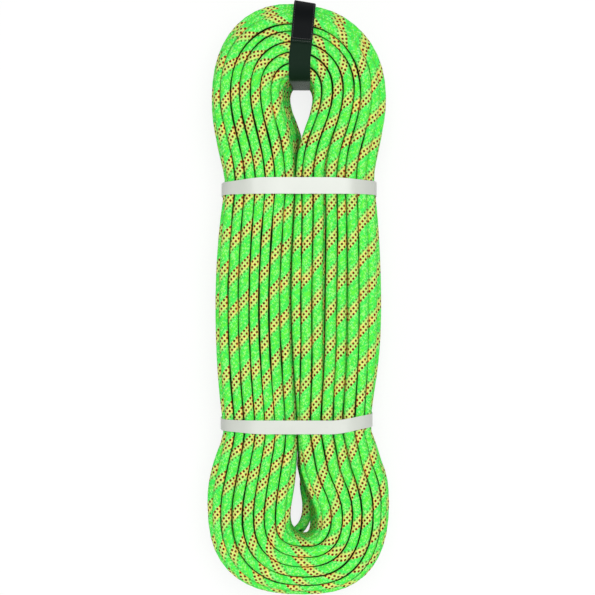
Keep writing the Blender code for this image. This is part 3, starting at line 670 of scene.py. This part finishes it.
def sheath_material():
    """Pairs of yarns cross over and under each other. Of the twelve lanes that run one way, four
    are the pale tracer, with a trace of it in those beside them, and the others are green. Two
    rows of maroon marks and a faint olive one follow the tracer."""
    m = Finish("rope_sheath", {"Roughness": 0.8, "Specular IOR Level": 0.10})
    side_x, side_y = m.parts("rope_side")
    around = m.math("ARCTAN2", side_y, side_x) * (YARN_PAIRS / (2 * math.pi))
    along = m.attribute("rope_along") * (YARN_PAIRS / BRAID_PITCH)
    first, second = along + around, along - around
    first_row, second_row = m.math("FLOOR", first), m.math("FLOOR", second)
    first_in, second_in = m.math("FRACT", first), m.math("FRACT", second)
    over = (first_row + second_row) % 2.0 < 0.5    # 1 where the tracer's family lies on top
    lane = second_row % float(YARN_PAIRS)

    def choose(share, no, yes):
        return (yes - no) * share + no

    def lanes(low, high):
        return (lane > low - 0.5) * (lane < high + 0.5)

    # The crown of each yarn: round across, and dipping at both ends under the other family.
    across_pair = choose(over, first_in, second_in) * 2.0
    across_yarn = m.math("SINE", m.math("FRACT", across_pair) * math.pi)
    down_yarn = m.math("SINE", choose(over, second_in, first_in) * math.pi)
    crown = across_yarn ** 0.4 * down_yarn ** 0.5

    # Each yarn has a tone of its own in each cell. The tracer also yellows at random, and is painted
    # yellower in the grooves between turns, a tint of painted shade.
    chance = m.chance(first_row, second_row, m.math("FLOOR", across_pair))
    groove = m.attribute("rope_groove")
    green = m.mix(lanes(6, 9) * (chance > 0.35) * 0.8, GREEN_COOL, GREEN_WARM)
    green = m.mix((chance > 0.76) * 0.62, green, GREEN_TICK)
    green = m.mix((chance < 0.22) * 0.45, green, GREEN_DARK)
    yellow = m.math("MINIMUM", m.ramp(groove, 0.05, 0.55) + chance * 0.25, 1.0)
    pale = m.mix((chance > 0.66) * 0.75, TRACER_PALE, TRACER_CREAM)
    pale = m.mix(yellow, pale, TRACER_YELLOW)
    traced = lanes(0, 3) + lanes(4, 4) * 0.22 + lanes(11, 11) * 0.06
    colour = m.mix(traced, green, pale)

    # A mark wherever a dark lane comes up over the other family, every second lane and row.
    def from_mark(row):
        return m.math("FRACT", row * 0.5 + 0.25) - 0.5

    off = m.math("SQRT", from_mark(first) ** 2.0 + from_mark(second) ** 2.0)
    mark_lane = m.math("FLOOR", (second + 0.5) * 0.5) % (YARN_PAIRS / 2)
    strong = (mark_lane < 1.5) * (off < MARK_REACH)
    faint = (mark_lane > 1.5) * (mark_lane < 2.5) * FAINT * (off < MARK_REACH * FAINT)
    maroon = m.mix(chance, TRACER_BROWN, TRACER_MAROON)
    # Painted shade tint: the marks are painted redder in the grooves between turns.
    maroon = m.mix(m.ramp(groove, 0.05, 0.60), maroon, TRACER_RED)
    colour = m.mix(faint, m.mix(strong, colour, maroon), TRACER_OLIVE)

    # Painted shade: the colour is darkened in the low places between yarns and in the grooves between
    # touching turns, and noise makes the painted groove shade wider in some places and narrower in
    # others.
    painted_seam_spread = (m.noise(SEAM_PATCHES, 1.0, m.object_place()) - 0.5) * SEAM_CHANGE
    shaded = m.math("MAXIMUM", (1.0 - crown) * DIP_SHADE, m.ramp(groove + painted_seam_spread, *SEAM_SHADE))
    m.paint(m.mix(shaded, colour, GREEN_PAINTED_SHADE))
    m.bump(crown, 0.7, YARN_RELIEF)
    return m.material


ROPE_SIDES = 20
GROOVE_REACH = 0.0030         # from a neighbouring turn to where its groove has ended
ABREAST = 1.3                 # rope diameters, within which a neighbour counts as beside


def note_grooves(rope, route):
    """Stores how deep in the groove between two turns each point of the sheath lies, from 0 in
    the open to 1 where the turns touch, for the shade that the sheath material paints there."""
    count = len(route)
    run = np.gradient(route, axis=0)
    run /= np.linalg.norm(run, axis=1)[:, None]
    begun = loops * COUNT - unused - count
    grid = np.full((loops * COUNT, 3), FAR_AWAY)
    grid[begun:begun + count] = route
    grid = grid.reshape(loops, COUNT, 3)
    skin = np.zeros(len(rope.data.vertices) * 3)
    rope.data.vertices.foreach_get("co", skin)
    skin = skin.reshape(count, -1, 3)
    depth = np.zeros(skin.shape[:2])
    for k in range(count):
        place = begun + k
        others = np.delete(grid[:, place % COUNT], place // COUNT, axis=0)
        apart = skin[k][:, None, :] - others[None, :, :]
        ahead = apart @ run[k]
        apart -= ahead[..., None] * run[k]
        away = np.linalg.norm(apart, axis=2) + (np.abs(ahead) > ABREAST * ROPE_DIAMETER)
        clear = away.min(axis=1) - ROPE_DIAMETER / 2
        depth[k] = 1 - np.clip(clear / GROOVE_REACH, 0.0, 1.0)
    note = rope.data.attributes.new("rope_groove", "FLOAT", "POINT")
    note.data.foreach_set("value", depth.ravel())


rope = through_tree("rope", polyline("rope", route), rope_tree(), {
    "Radius": ROPE_DIAMETER / 2, "Sides": ROPE_SIDES, "Material": sheath_material(),
})
note_grooves(rope, route)


# ---------------------------------------------------------------- its end
# A black sleeve is heat-shrunk round the free end, and past it the cut nylon is melted to a
# smooth knob so that it doesn't fray.
def tube(name, rings, sharp=math.radians(40), turn=1):
    """A closed solid through rings of corners. Its faces are smooth, and its edges sharp past an
    angle. `turn` is -1 for rings that run round clockwise."""
    around = len(rings[0])
    last = (len(rings) - 1) * around
    faces = []
    for first in range(0, last, around):
        for j in range(around):
            a, b = first + j, first + (j + 1) % around
            faces.append((a, *(b, b + around, a + around)[::turn]))
    faces.append(tuple(range(around))[::-turn])
    faces.append(tuple(range(last, last + around))[::turn])
    mesh = bpy.data.meshes.new(name)
    mesh.from_pydata([tuple(corner) for corners in rings for corner in corners], [], faces)
    mesh.shade_smooth()
    mesh.set_sharp_from_angle(angle=sharp)
    made = bpy.data.objects.new(name, mesh)
    scene.collection.objects.link(made)
    return made


def turned(name, start, end, radii):
    """A solid of revolution from start to end, with the radius at each even step between."""
    way = Vector(end) - Vector(start)
    lay = way.to_track_quat("Z", "Y").to_matrix()
    angles = [2 * math.pi * j / TURNED_SIDES for j in range(TURNED_SIDES)]
    round_it = [lay @ Vector((math.cos(angle), math.sin(angle), 0)) for angle in angles]
    return tube(name, [
        [Vector(start) + way * k / (len(radii) - 1) + out * radius for out in round_it]
        for k, radius in enumerate(radii)
    ])


def finish_piece(piece, body, material):
    """Rides the hank, or for a flap piece has its transform applied, and takes its material."""
    if body == "flap":
        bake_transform(piece)
    else:
        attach(piece, body)
    piece.data.materials.clear()
    piece.data.materials.append(material)


def speckled(name, dark, light, grain, shader, relief=None, on_object=False):
    """A material of two tones in a grain, given by its scale and detail. A relief is given by
    its scale, detail, strength and depth."""
    m = Finish(name, shader)
    place = m.object_place() if on_object else None
    m.paint(m.mix(m.noise(*grain, place), dark, light))
    if relief:
        m.bump(m.noise(*relief[:2], place), *relief[2:])
    return m.material


TURNED_SIDES = 40
SLEEVE_WALL = 0.0004
sleeve_black = speckled(
    "end_sleeve", (0.012, 0.012, 0.013, 1), (0.026, 0.026, 0.028, 1), (420.0, 2.0),
    {"Roughness": 0.42}, relief=(900.0, 2.0, 0.25, 0.0002),
)
run_back = Vector(route[-2] - route[-1]).normalized()
sleeve_start = Vector(route[-1]) + run_back * (TIP_BEYOND_SLEEVE + (sleeve_high - sleeve_low).y)
sleeve_end = Vector(route[-1]) + run_back * TIP_BEYOND_SLEEVE
ripple = [0.35 * math.sin(k * 2.1) + 0.25 * math.sin(k * 5.3) for k in range(25)]
sleeve_radii = [ROPE_DIAMETER / 2 + SLEEVE_WALL * (1 + 0.3 * r) for r in ripple]
sleeve = turned("rope_end_sleeve_skin", sleeve_start, sleeve_end, [ROPE_DIAMETER / 2] + sleeve_radii)
finish_piece(sleeve, "hank", sleeve_black)
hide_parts("rope_end_sleeve")

TIP_LENGTH = 0.0014
TIP_FLAT = 0.0004             # radius of the middle of the melted end
melted_nylon = speckled(
    "rope_tip", (0.020, 0.070, 0.012, 1), (0.11, 0.30, 0.05, 1), (500.0, 2.0), {"Roughness": 0.35})
tip_radii = [ROPE_DIAMETER / 2 * math.cos(math.pi / 2 * k / 8) ** 0.5 for k in range(8)] + [TIP_FLAT]
tip = turned("rope_tip", route[-1], Vector(route[-1]) - run_back * TIP_LENGTH, tip_radii)
finish_piece(tip, "hank", melted_nylon)

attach(rope, "hank")
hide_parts("rope_outer_turns", "rope_inner_turns")


# ================================================================ the bands
# Two flat bands of satin white plastic hold the waist. Each is pulled taut round all the turns,
# and its ends are welded together in a lap on the hank's left side.
UPPER_BAND_WIDTH = 0.0154
LOWER_BAND_WIDTH = 0.0128
BAND_THICKNESS = 0.0008
BAND_LAP = 0.30               # radians of the band's way round, about 22 mm
LAP_CLIMB = 0.06              # radians, in which the end climbs on the start,
LAP_AIR = 0.00005             # to lie so far off it
BAND_STEPS = 300
BAND_CLEARANCE = 0.00028
BAND_ROUNDING = (-0.06, -0.03, 0.0, 0.03, 0.06)   # radians, over which its stiffness rounds it off
BAND_CHAMFER = 0.00018
LOWER_BAND_SHIFT = 0.0005     # up from the CAD band's middle
# How far a band's upper and lower edges turn off its straight line at its left and right ends
UPPER_BAND_TURNS = {-1: (-0.0036, -0.0002), 1: (-0.0024, 0.0000)}
LOWER_BAND_TURNS = {-1: (0.0000, 0.0020), 1: (0.0048, 0.0054)}
BAND_STRAIGHT = 0.030         # half the width of the straight stretch across the front
TURN_SIDES = 24               # of each turn that a band is pulled round


def crossings(axis, value):
    """Where the rope passes through a plane."""
    a, b = route[:-1], route[1:]
    hit = (a[:, axis] - value) * (b[:, axis] - value) < 0
    share = (value - a[hit, axis]) / (b[hit, axis] - a[hit, axis])
    return a[hit] + (b[hit] - a[hit]) * share[:, None]


def taut_outline(middles):
    """The middle, way out and reach of each straight or round stretch of a line pulled taut
    round the rope's turns, given where their middles pass through a plane."""
    turn = np.linspace(0, 2 * math.pi, TURN_SIDES, endpoint=False)
    circle = np.column_stack((np.cos(turn), np.sin(turn))) * ROPE_DIAMETER / 2
    cloud = (middles[:, None, :] + circle[None, :, :]).reshape(-1, 2)
    hull = cloud[convex_hull_2d([Vector(point) for point in cloud])]
    middle_point = (hull.max(axis=0) + hull.min(axis=0)) / 2
    edge = np.roll(hull, -1, axis=0) - hull
    out = np.column_stack((edge[:, 1], -edge[:, 0]))
    out /= np.linalg.norm(out, axis=1)[:, None]
    reach = ((hull - middle_point) * out).sum(axis=1)
    out[reach < 0] *= -1
    return middle_point, out, np.abs(reach)


def taut_point(outline, angle, offset):
    """The point of a taut outline in one direction from its middle, `offset` outside it."""
    middle_point, out, reach = outline
    way = np.array((math.cos(angle), math.sin(angle)))
    facing = out @ way
    ahead = facing > 1e-6
    return middle_point + way * ((reach[ahead] + offset) / facing[ahead]).min()


def make_band(name, y, turns, band_width, material):
    """A flat band round the waist with its lap on the left."""
    planes = [y - band_width / 2, y, y + band_width / 2]
    outline = taut_outline(np.vstack([crossings(1, plane)[:, (0, 2)] for plane in planes]))
    half, cut = band_width / 2, BAND_CHAMFER
    profile = (
        (-half + cut, 0), (half - cut, 0), (half, cut), (half, BAND_THICKNESS - cut),
        (half - cut, BAND_THICKNESS), (-half + cut, BAND_THICKNESS),
        (-half, BAND_THICKNESS - cut), (-half, cut),
    )
    rings = []
    start = math.pi - BAND_LAP / 2
    for k in range(BAND_STEPS + 1):
        angle = start + (2 * math.pi + BAND_LAP) * k / BAND_STEPS
        lifted = ease((angle - start - 2 * math.pi) / LAP_CLIMB + 1)
        corners = []
        for side, rise in profile:
            offset = BAND_CLEARANCE + (BAND_THICKNESS + LAP_AIR) * lifted + rise
            taut = [taut_point(outline, angle + turn, offset) for turn in BAND_ROUNDING]
            x, z = np.mean(taut, axis=0)
            veer = turns[-1 if x < 0 else 1][0 if side > 0 else 1]
            veer *= ease((abs(x) - BAND_STRAIGHT) / (WAIST - BAND_STRAIGHT))
            corners.append((x, y + side + veer, z))
        rings.append(corners)
    band = tube(name + "_strip", rings, turn=-1)
    finish_piece(band, "hank", material)
    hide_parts(name)


# The plastic is white; the green tint in its two tones is painted light, the bounce off the green rope.
plastic = speckled(
    "band_plastic", (0.483, 0.505, 0.458, 1), (0.555, 0.580, 0.529, 1), (38.0, 3.0),
    {"Roughness": 0.38}, relief=(65.0, 2.0, 0.25, 0.0006), on_object=True,
)
make_band("upper_band", UPPER_BAND_Y, UPPER_BAND_TURNS, UPPER_BAND_WIDTH, plastic)
make_band(
    "lower_band", LOWER_BAND_Y + LOWER_BAND_SHIFT, LOWER_BAND_TURNS, LOWER_BAND_WIDTH, plastic)


# ================================================================ the strap
# A loop of black nylon webbing goes round the hank's end through the upper eye. Its free end is
# the flap with the label on it. A hook patch sewn under the flap holds on a loop patch that is
# sewn on the webbing, and the flap peels up from the hank's upper front corner.
STRAP_WIDTH = 0.020
STRAP_THICKNESS = 0.0012
STRAP_GAP = 0.0001            # between layers that lie on each other
STRAP_OUTER_RADIUS = 0.0229   # of its bends at the hank's end
STRAP_INNER_RADIUS = 0.0169   # and in the eye
STRAP_TOP_ROOM = 0.0040       # between the fold and the box of the CAD rope, at the hank's end,
STRAP_FRONT_ROOM = 0.0048     # and between the strap and the CAD flap's front
STRAP_LEAN = math.radians(5.6)
STRAP_TOP_X = 0.0068
STRAP_EYE_X = 0.0044
TWIST_FROM = 0.018            # past its turn into the eye, where it starts to shift sideways,
TWIST_REACH = 0.055           # and in how far
STRAP_SLOPE = 0.165           # of its fold at the hank's end, which drops to the right,
SLOPE_FROM = 0.025            # from so far before the end,
SLOPE_REACH = 0.02            # within this
PATCH_THICKNESS = 0.0006
PATCH_WIDTH = 0.019
PATCH_LENGTH = 0.025
LABEL_THICKNESS = 0.0004
LABEL_WIDTH = 0.0192
LABEL_LENGTH = 0.0375
LABEL_INSET = 0.0025          # from the flap's end
LABEL_HEM = 0.0009            # from an edge to its seam
PATCH_INSET = 0.002
PATCH_HEM = 0.0008
PATCH_END_HEM = 0.0010
FLAP_HEM = 0.0012
FLAP_LENGTH = 0.0165          # past the round corner
STEP_ALONG = 0.0008

webbing_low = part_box("strap_webbing")[0]
flap_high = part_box("strap_flap")[1]
FLAP_RISE = STRAP_THICKNESS + 2 * PATCH_THICKNESS + 4 * STRAP_GAP
HINGE_WAY = STRAP_OUTER_RADIUS * math.pi / 4
STRAP_TOP = rope_high.y - STRAP_TOP_ROOM
STRAP_FRONT = flap_high.z - STRAP_FRONT_ROOM
STRAP_BACK = webbing_low.z + STRAP_THICKNESS + STRAP_GAP
STRAP_EYE_Y = webbing_low.y


class StrapLine:
    """The line round the rope's end that the strap follows, seen from the side. It runs from the
    hank's upper front corner over the front, through the eye, along the back and up the end."""

    def __init__(self):
        top, eye = STRAP_TOP - STRAP_OUTER_RADIUS, STRAP_EYE_Y + STRAP_INNER_RADIUS
        legs = (
            (top, STRAP_FRONT - STRAP_OUTER_RADIUS, STRAP_OUTER_RADIUS, top - eye),
            (eye, STRAP_FRONT - STRAP_INNER_RADIUS, STRAP_INNER_RADIUS,
             STRAP_FRONT - STRAP_BACK - 2 * STRAP_INNER_RADIUS),
            (eye, STRAP_BACK + STRAP_INNER_RADIUS, STRAP_INNER_RADIUS, top - eye),
            (top, STRAP_BACK + STRAP_OUTER_RADIUS, STRAP_OUTER_RADIUS,
             STRAP_FRONT - STRAP_BACK - 2 * STRAP_OUTER_RADIUS),
        )
        self.legs, self.corners = legs, [0.0]
        for _, _, radius, flat in legs:
            self.corners.append(self.corners[-1] + radius * math.pi / 2 + flat)
        self.length = self.corners[-1]
        self.round_end = STRAP_OUTER_RADIUS * math.pi / 2

    def at(self, way):
        """The point there and the way out of it, as pairs of y and z."""
        way %= self.length
        leg = max(k for k in range(4) if way >= self.corners[k] - 1e-12)
        y, z, radius, _ = self.legs[leg]
        gone = way - self.corners[leg]
        turned = min(gone / radius, math.pi / 2) + leg * math.pi / 2
        out = np.array((math.cos(turned), math.sin(turned)))
        ahead = max(gone - radius * math.pi / 2, 0.0)
        return np.array((y, z)) + out * radius + np.array((-out[1], out[0])) * ahead, out

    def middle_x(self, way):
        """The strap slants across the front, and twists to the right as it turns into the eye."""
        way %= self.length
        y = self.at(min(way, self.corners[1]))[0][0]
        slanted = STRAP_TOP_X - math.tan(STRAP_LEAN) * (STRAP_TOP - y)
        in_eye = ease((way - self.corners[1] - TWIST_FROM) / TWIST_REACH)
        x = slanted + (STRAP_EYE_X - slanted) * in_eye
        on_back = ease((way - self.corners[2]) / (self.corners[3] - self.corners[2]))
        return x + (STRAP_TOP_X - x) * on_back

    def point(self, across, way, lift):
        """The point so far across the strap and outside its line."""
        place, out = self.at(way)
        y, z = place + out * lift
        slope = math.tan(STRAP_LEAN) * ease((y - STRAP_EYE_Y) / SLOPE_REACH)
        at_end = ease((y - STRAP_TOP + SLOPE_FROM) / SLOPE_REACH)
        slope += (STRAP_SLOPE - math.tan(STRAP_LEAN)) * at_end
        return self.middle_x(way) + across, y - slope * across, z


strap_line = StrapLine()


def make_strip(name, start, end, rise, thickness, width):
    """A strip along the strap's line with round edges, `rise` outside the rope. Its attribute
    "strip" holds the way across it and along it, in metres."""
    steps_along = max(2, round((end - start) / STEP_ALONG))
    half = thickness / 2
    flat = width / 2 - half
    profile = [(flat * k / 4, half) for k in range(-4, 5)]
    profile += [(flat + half * math.cos(a), half * math.sin(a)) for a in (0.8, 0.0, -0.8)]
    profile += [(-x, -z) for x, z in profile]
    rings, places = [], []
    for k in range(steps_along + 1):
        way = start + (end - start) * k / steps_along
        lift = (rise(way) if callable(rise) else rise) + half
        rings.append([strap_line.point(x, way, lift + up) for x, up in profile])
        places += [(x, way, 0.0) for x, _ in profile]
    strip = tube(name, rings, sharp=math.radians(60))
    note = strip.data.attributes.new("strip", "FLOAT_VECTOR", "POINT")
    note.data.foreach_set("vector", np.array(places).ravel())
    return strip


CLIMB_FROM = 0.004            # before the hank's upper front corner


def webbing_rise(way):
    """The webbing climbs over its own inner end, to carry the flap on."""
    start = strap_line.length - CLIMB_FROM
    climbed = ease((way - start) / (strap_line.length + HINGE_WAY - start))
    return STRAP_GAP + (FLAP_RISE - STRAP_GAP) * climbed


def woven(name, dark, light, rib, end, roughness, depth, sheen=0.1):
    """Cloth of warp ends `end` apart that pass over and under picks `rib` apart."""
    # The green tint of the sheen is a painted reflection of the green rope.
    m = Finish(name, {
        "Roughness": roughness, "Specular IOR Level": 0.05, "Sheen Weight": sheen,
        "Sheen Tint": (0.70, 1.0, 0.72, 1.0), "Sheen Roughness": 0.15,
    })
    across, along = m.parts("strip")
    column = across / end
    row = along / rib + m.math("FLOOR", column) * 0.5
    warp = m.math("SINE", m.math("FRACT", column) * math.pi)
    over = m.math("SINE", m.math("FRACT", row) * math.pi)
    crown = (warp * over) ** 0.6
    m.paint(m.mix(crown * (m.noise(260.0) + 0.5), dark, light))
    m.bump(crown, 0.8, depth)
    return m.material


BEND_REACH = 0.0070           # to each side of the hinge, where the webbing bends
INNER_END = math.radians(56.0)    # how far round the upper front corner the webbing begins
hinge = strap_line.length + HINGE_WAY
flap_end = strap_line.round_end + FLAP_LENGTH
# The webbing is black; the green in its two tones is painted light, the bounce off the green rope.
webbing_black = woven(
    "webbing", (0.003, 0.010, 0.005, 1), (0.009, 0.025, 0.014, 1),
    rib=0.0014, end=0.0009, roughness=0.4, depth=0.0002, sheen=0.27,
)
webbing = make_strip(
    "strap_webbing_weave", STRAP_OUTER_RADIUS * INNER_END, hinge - BEND_REACH,
    webbing_rise, STRAP_THICKNESS, STRAP_WIDTH,
)
finish_piece(webbing, "hank", webbing_black)
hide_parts("strap_webbing")

# The flap and the first bend of the webbing are one piece.
flap = make_strip(
    "strap_flap_weave", hinge - BEND_REACH, strap_line.length + flap_end,
    lambda way: FLAP_RISE if way > hinge else webbing_rise(way), STRAP_THICKNESS, STRAP_WIDTH,
)
bend_points = [
    strap_line.point(0.0, way, FLAP_RISE) for way in (HINGE_WAY - BEND_REACH, HINGE_WAY + BEND_REACH)
]
finish_piece(flap, "flap", webbing_black)
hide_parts("strap_flap")

# The closure's halves. The loops are a soft pile, and the hooks stand in rows.
patch_end = flap_end - PATCH_INSET
patch_start = patch_end - PATCH_LENGTH
loop_rise = STRAP_THICKNESS + 2 * STRAP_GAP
hook_rise = loop_rise + PATCH_THICKNESS + STRAP_GAP
loop_patch = make_strip(
    "strap_loop_pile", patch_start, patch_end, loop_rise, PATCH_THICKNESS, PATCH_WIDTH)
pile = speckled(
    "loop_fabric", (0.008, 0.009, 0.009, 1), (0.045, 0.047, 0.048, 1), (1500.0, 4.0),
    {"Roughness": 0.95, "Sheen Weight": 0.5}, relief=(2200.0, 4.0, 1.0, 0.0005),
)
finish_piece(loop_patch, "hank", pile)
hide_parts("strap_loop_patch")

hook_patch = make_strip(
    "strap_hook_tape", patch_start, patch_end, hook_rise, PATCH_THICKNESS, PATCH_WIDTH)
hook_black = woven(
    "hook_tape", (0.010, 0.011, 0.011, 1), (0.030, 0.031, 0.032, 1),
    rib=0.0016, end=0.0012, roughness=0.45, depth=0.0003,
)
finish_piece(hook_patch, "flap", hook_black)
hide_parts("strap_hook_patch")

# The label, left bare, is a smooth woven satin, turned in at its edges and sewn down all round.
label_end = flap_end - LABEL_INSET
label_start = label_end - LABEL_LENGTH
label_rise = FLAP_RISE + STRAP_THICKNESS + STRAP_GAP / 2
label = make_strip(
    "strap_label_satin", label_start, label_end, label_rise, LABEL_THICKNESS, LABEL_WIDTH)
label_black = woven(
    "label_fabric", (0.002, 0.003, 0.003, 1), (0.005, 0.006, 0.007, 1),
    rib=0.0005, end=0.0005, roughness=0.5, depth=0.00005, sheen=0.02,
)
finish_piece(label, "flap", label_black)
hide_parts("strap_label")


def stitch_tree():
    """Lays a short thread at every point of the guide, turned the way the point says."""
    tree = Shaping("stitches", Length="Float", Radius="Float")
    add, given = tree.add, tree.given
    end = add("ShaderNodeCombineXYZ", {"X": given["Length"] * 0.5})
    start = add("ShaderNodeVectorMath", {0: end, "Scale": -1.0}, operation="SCALE")
    line = add("GeometryNodeCurvePrimitiveLine", {"Start": start, "End": end}, mode="POINTS")
    line = add("GeometryNodeResampleCurve", {"Curve": line, "Count": 5})
    share = add("GeometryNodeSplineParameter", output="Factor")
    arch = add("ShaderNodeCombineXYZ", {"Z": tree.math("PINGPONG", share, 0.5) * given["Radius"]})
    line = add("GeometryNodeSetPosition", {"Geometry": line, "Offset": arch})
    section = {"Resolution": 6, "Radius": given["Radius"]}
    thread = tree.sweep(line, add("GeometryNodeCurvePrimitiveCircle", section))
    out, run = (
        add("GeometryNodeInputNamedAttribute", {"Name": name}, "Attribute", data_type="FLOAT_VECTOR")
        for name in ("out", "run")
    )
    turn = add("FunctionNodeAlignRotationToVector", {"Vector": out}, axis="Z")
    turn = add(
        "FunctionNodeAlignRotationToVector", {"Rotation": turn, "Vector": run},
        axis="X", pivot_axis="Z",
    )
    inputs = {"Points": given["Geometry"], "Instance": thread, "Rotation": turn}
    return tree.end(add("GeometryNodeInstanceOnPoints", inputs))


STITCH_PITCH = 0.0022
STITCH_LENGTH = 0.0017
THREAD_RADIUS = 0.00022
STANDING = 0.3                # how much of its radius a thread's middle stands off the cloth


def sew(name, body, seams, rise, downwards=False):
    """Rows of stitches on the strap. A seam runs from one place to another, each given as the
    way across the strap and the way along it."""
    corners, runs, outs = [], [], []
    side = -1 if downwards else 1
    for (x_start, way_start), (x_end, way_end) in seams:
        count = max(2, round(math.hypot(x_end - x_start, way_end - way_start) / STITCH_PITCH))
        along = abs(way_end - way_start) > abs(x_end - x_start)
        for k in range(count):
            share = (k + 0.5) / count
            way = way_start + (way_end - way_start) * share
            out = strap_line.at(way)[1]
            runs.append((0, -out[1], out[0]) if along else (1, 0, 0))
            outs.append((0, side * out[0], side * out[1]))
            across = x_start + (x_end - x_start) * share
            corners.append(strap_line.point(across, way, rise + side * THREAD_RADIUS * STANDING))
    guide_mesh = bpy.data.meshes.new(name)
    guide_mesh.from_pydata(corners, [], [])
    for label_name, values in (("run", runs), ("out", outs)):
        note = guide_mesh.attributes.new(label_name, "FLOAT_VECTOR", "POINT")
        note.data.foreach_set("vector", np.array(values, dtype=np.float32).ravel())
    values = {"Length": STITCH_LENGTH, "Radius": THREAD_RADIUS, "Material": thread_black}
    stitches = through_tree(name, bpy.data.objects.new(name, guide_mesh), stitching, values)
    finish_piece(stitches, body, thread_black)


def four_seams(half, start, end):
    """Seams near all four edges of a patch."""
    return (
        ((-half, start), (-half, end)), ((half, start), (half, end)),
        ((-half, start), (half, start)), ((-half, end), (half, end)),
    )


thread_black = speckled(
    "thread", (0.012, 0.014, 0.014, 1), (0.050, 0.054, 0.052, 1), (3000.0, 2.0), {"Roughness": 0.4})
stitching = stitch_tree()
label_seams = four_seams(
    LABEL_WIDTH / 2 - LABEL_HEM, label_start + LABEL_HEM, label_end - LABEL_HEM)
sew("label_stitches", "flap", label_seams, label_rise + LABEL_THICKNESS)
half_patch = PATCH_WIDTH / 2 - PATCH_HEM
flap_seam = ((-half_patch, flap_end - FLAP_HEM), (half_patch, flap_end - FLAP_HEM))
sew("flap_stitches", "flap", (flap_seam,), FLAP_RISE + STRAP_THICKNESS)
patch_seams = four_seams(half_patch, patch_start + PATCH_END_HEM, patch_end - PATCH_END_HEM)
sew("loop_patch_stitches", "hank", patch_seams, loop_rise + PATCH_THICKNESS)
sew("hook_patch_stitches", "flap", patch_seams, hook_rise, downwards=True)


# ================================================================ floor and light
# A white floor, a soft box overhead and an even white surround.
FLOOR_HALF = 20               # of its side
FLOOR_DROP = 0.0001           # below the hank's back
PAPER_GLOW = 0.82             # how much of it the camera sees as plain white

floor_mesh = bpy.data.meshes.new("floor")
floor_mesh.from_pydata([
    (x * FLOOR_HALF, y * FLOOR_HALF, -FLOOR_DROP) for x, y in ((-1, -1), (1, -1), (1, 1), (-1, 1))
], [], [(0, 1, 2, 3)])
floor = bpy.data.objects.new("floor", floor_mesh)
scene.collection.objects.link(floor)
paper = Finish("floor", {"Base Color": (0.88, 0.88, 0.88, 1.0), "Roughness": 0.9})
seen = 0.0
for ray in ("Is Camera Ray", "Is Glossy Ray", "Is Transmission Ray"):
    seen = paper.math("MAXIMUM", seen, paper.add("ShaderNodeLightPath", output=ray))
plain = Value(paper, paper.shader.outputs[0])
shown = {0: seen * PAPER_GLOW, 1: plain, 2: paper.add("ShaderNodeEmission")}
shown = paper.add("ShaderNodeMixShader", shown)
paper.feed(paper.tree.nodes["Material Output"].inputs["Surface"], shown)
floor_mesh.materials.append(paper.material)

world = bpy.data.worlds.new("surround")
world.use_nodes = True
surround = world.node_tree.nodes["Background"].inputs
surround["Color"].default_value = (1, 1, 1, 1)
surround["Strength"].default_value = 0.45
scene.world = world


def soft_box(name, place, size, power):
    """A square area lamp that faces the hank."""
    lamp = bpy.data.lights.new(name, "AREA")
    lamp.size, lamp.energy = size, power
    holder = bpy.data.objects.new(name, lamp)
    holder.location = place
    holder.rotation_euler = (-Vector(place)).to_track_quat("-Z", "Y").to_euler()
    scene.collection.objects.link(holder)


soft_box("overhead", (0.10, 0.25, 1.8), 0.9, 24.0)
soft_box("near_end", (0.0, -1.3, 0.9), 0.7, 6.0)
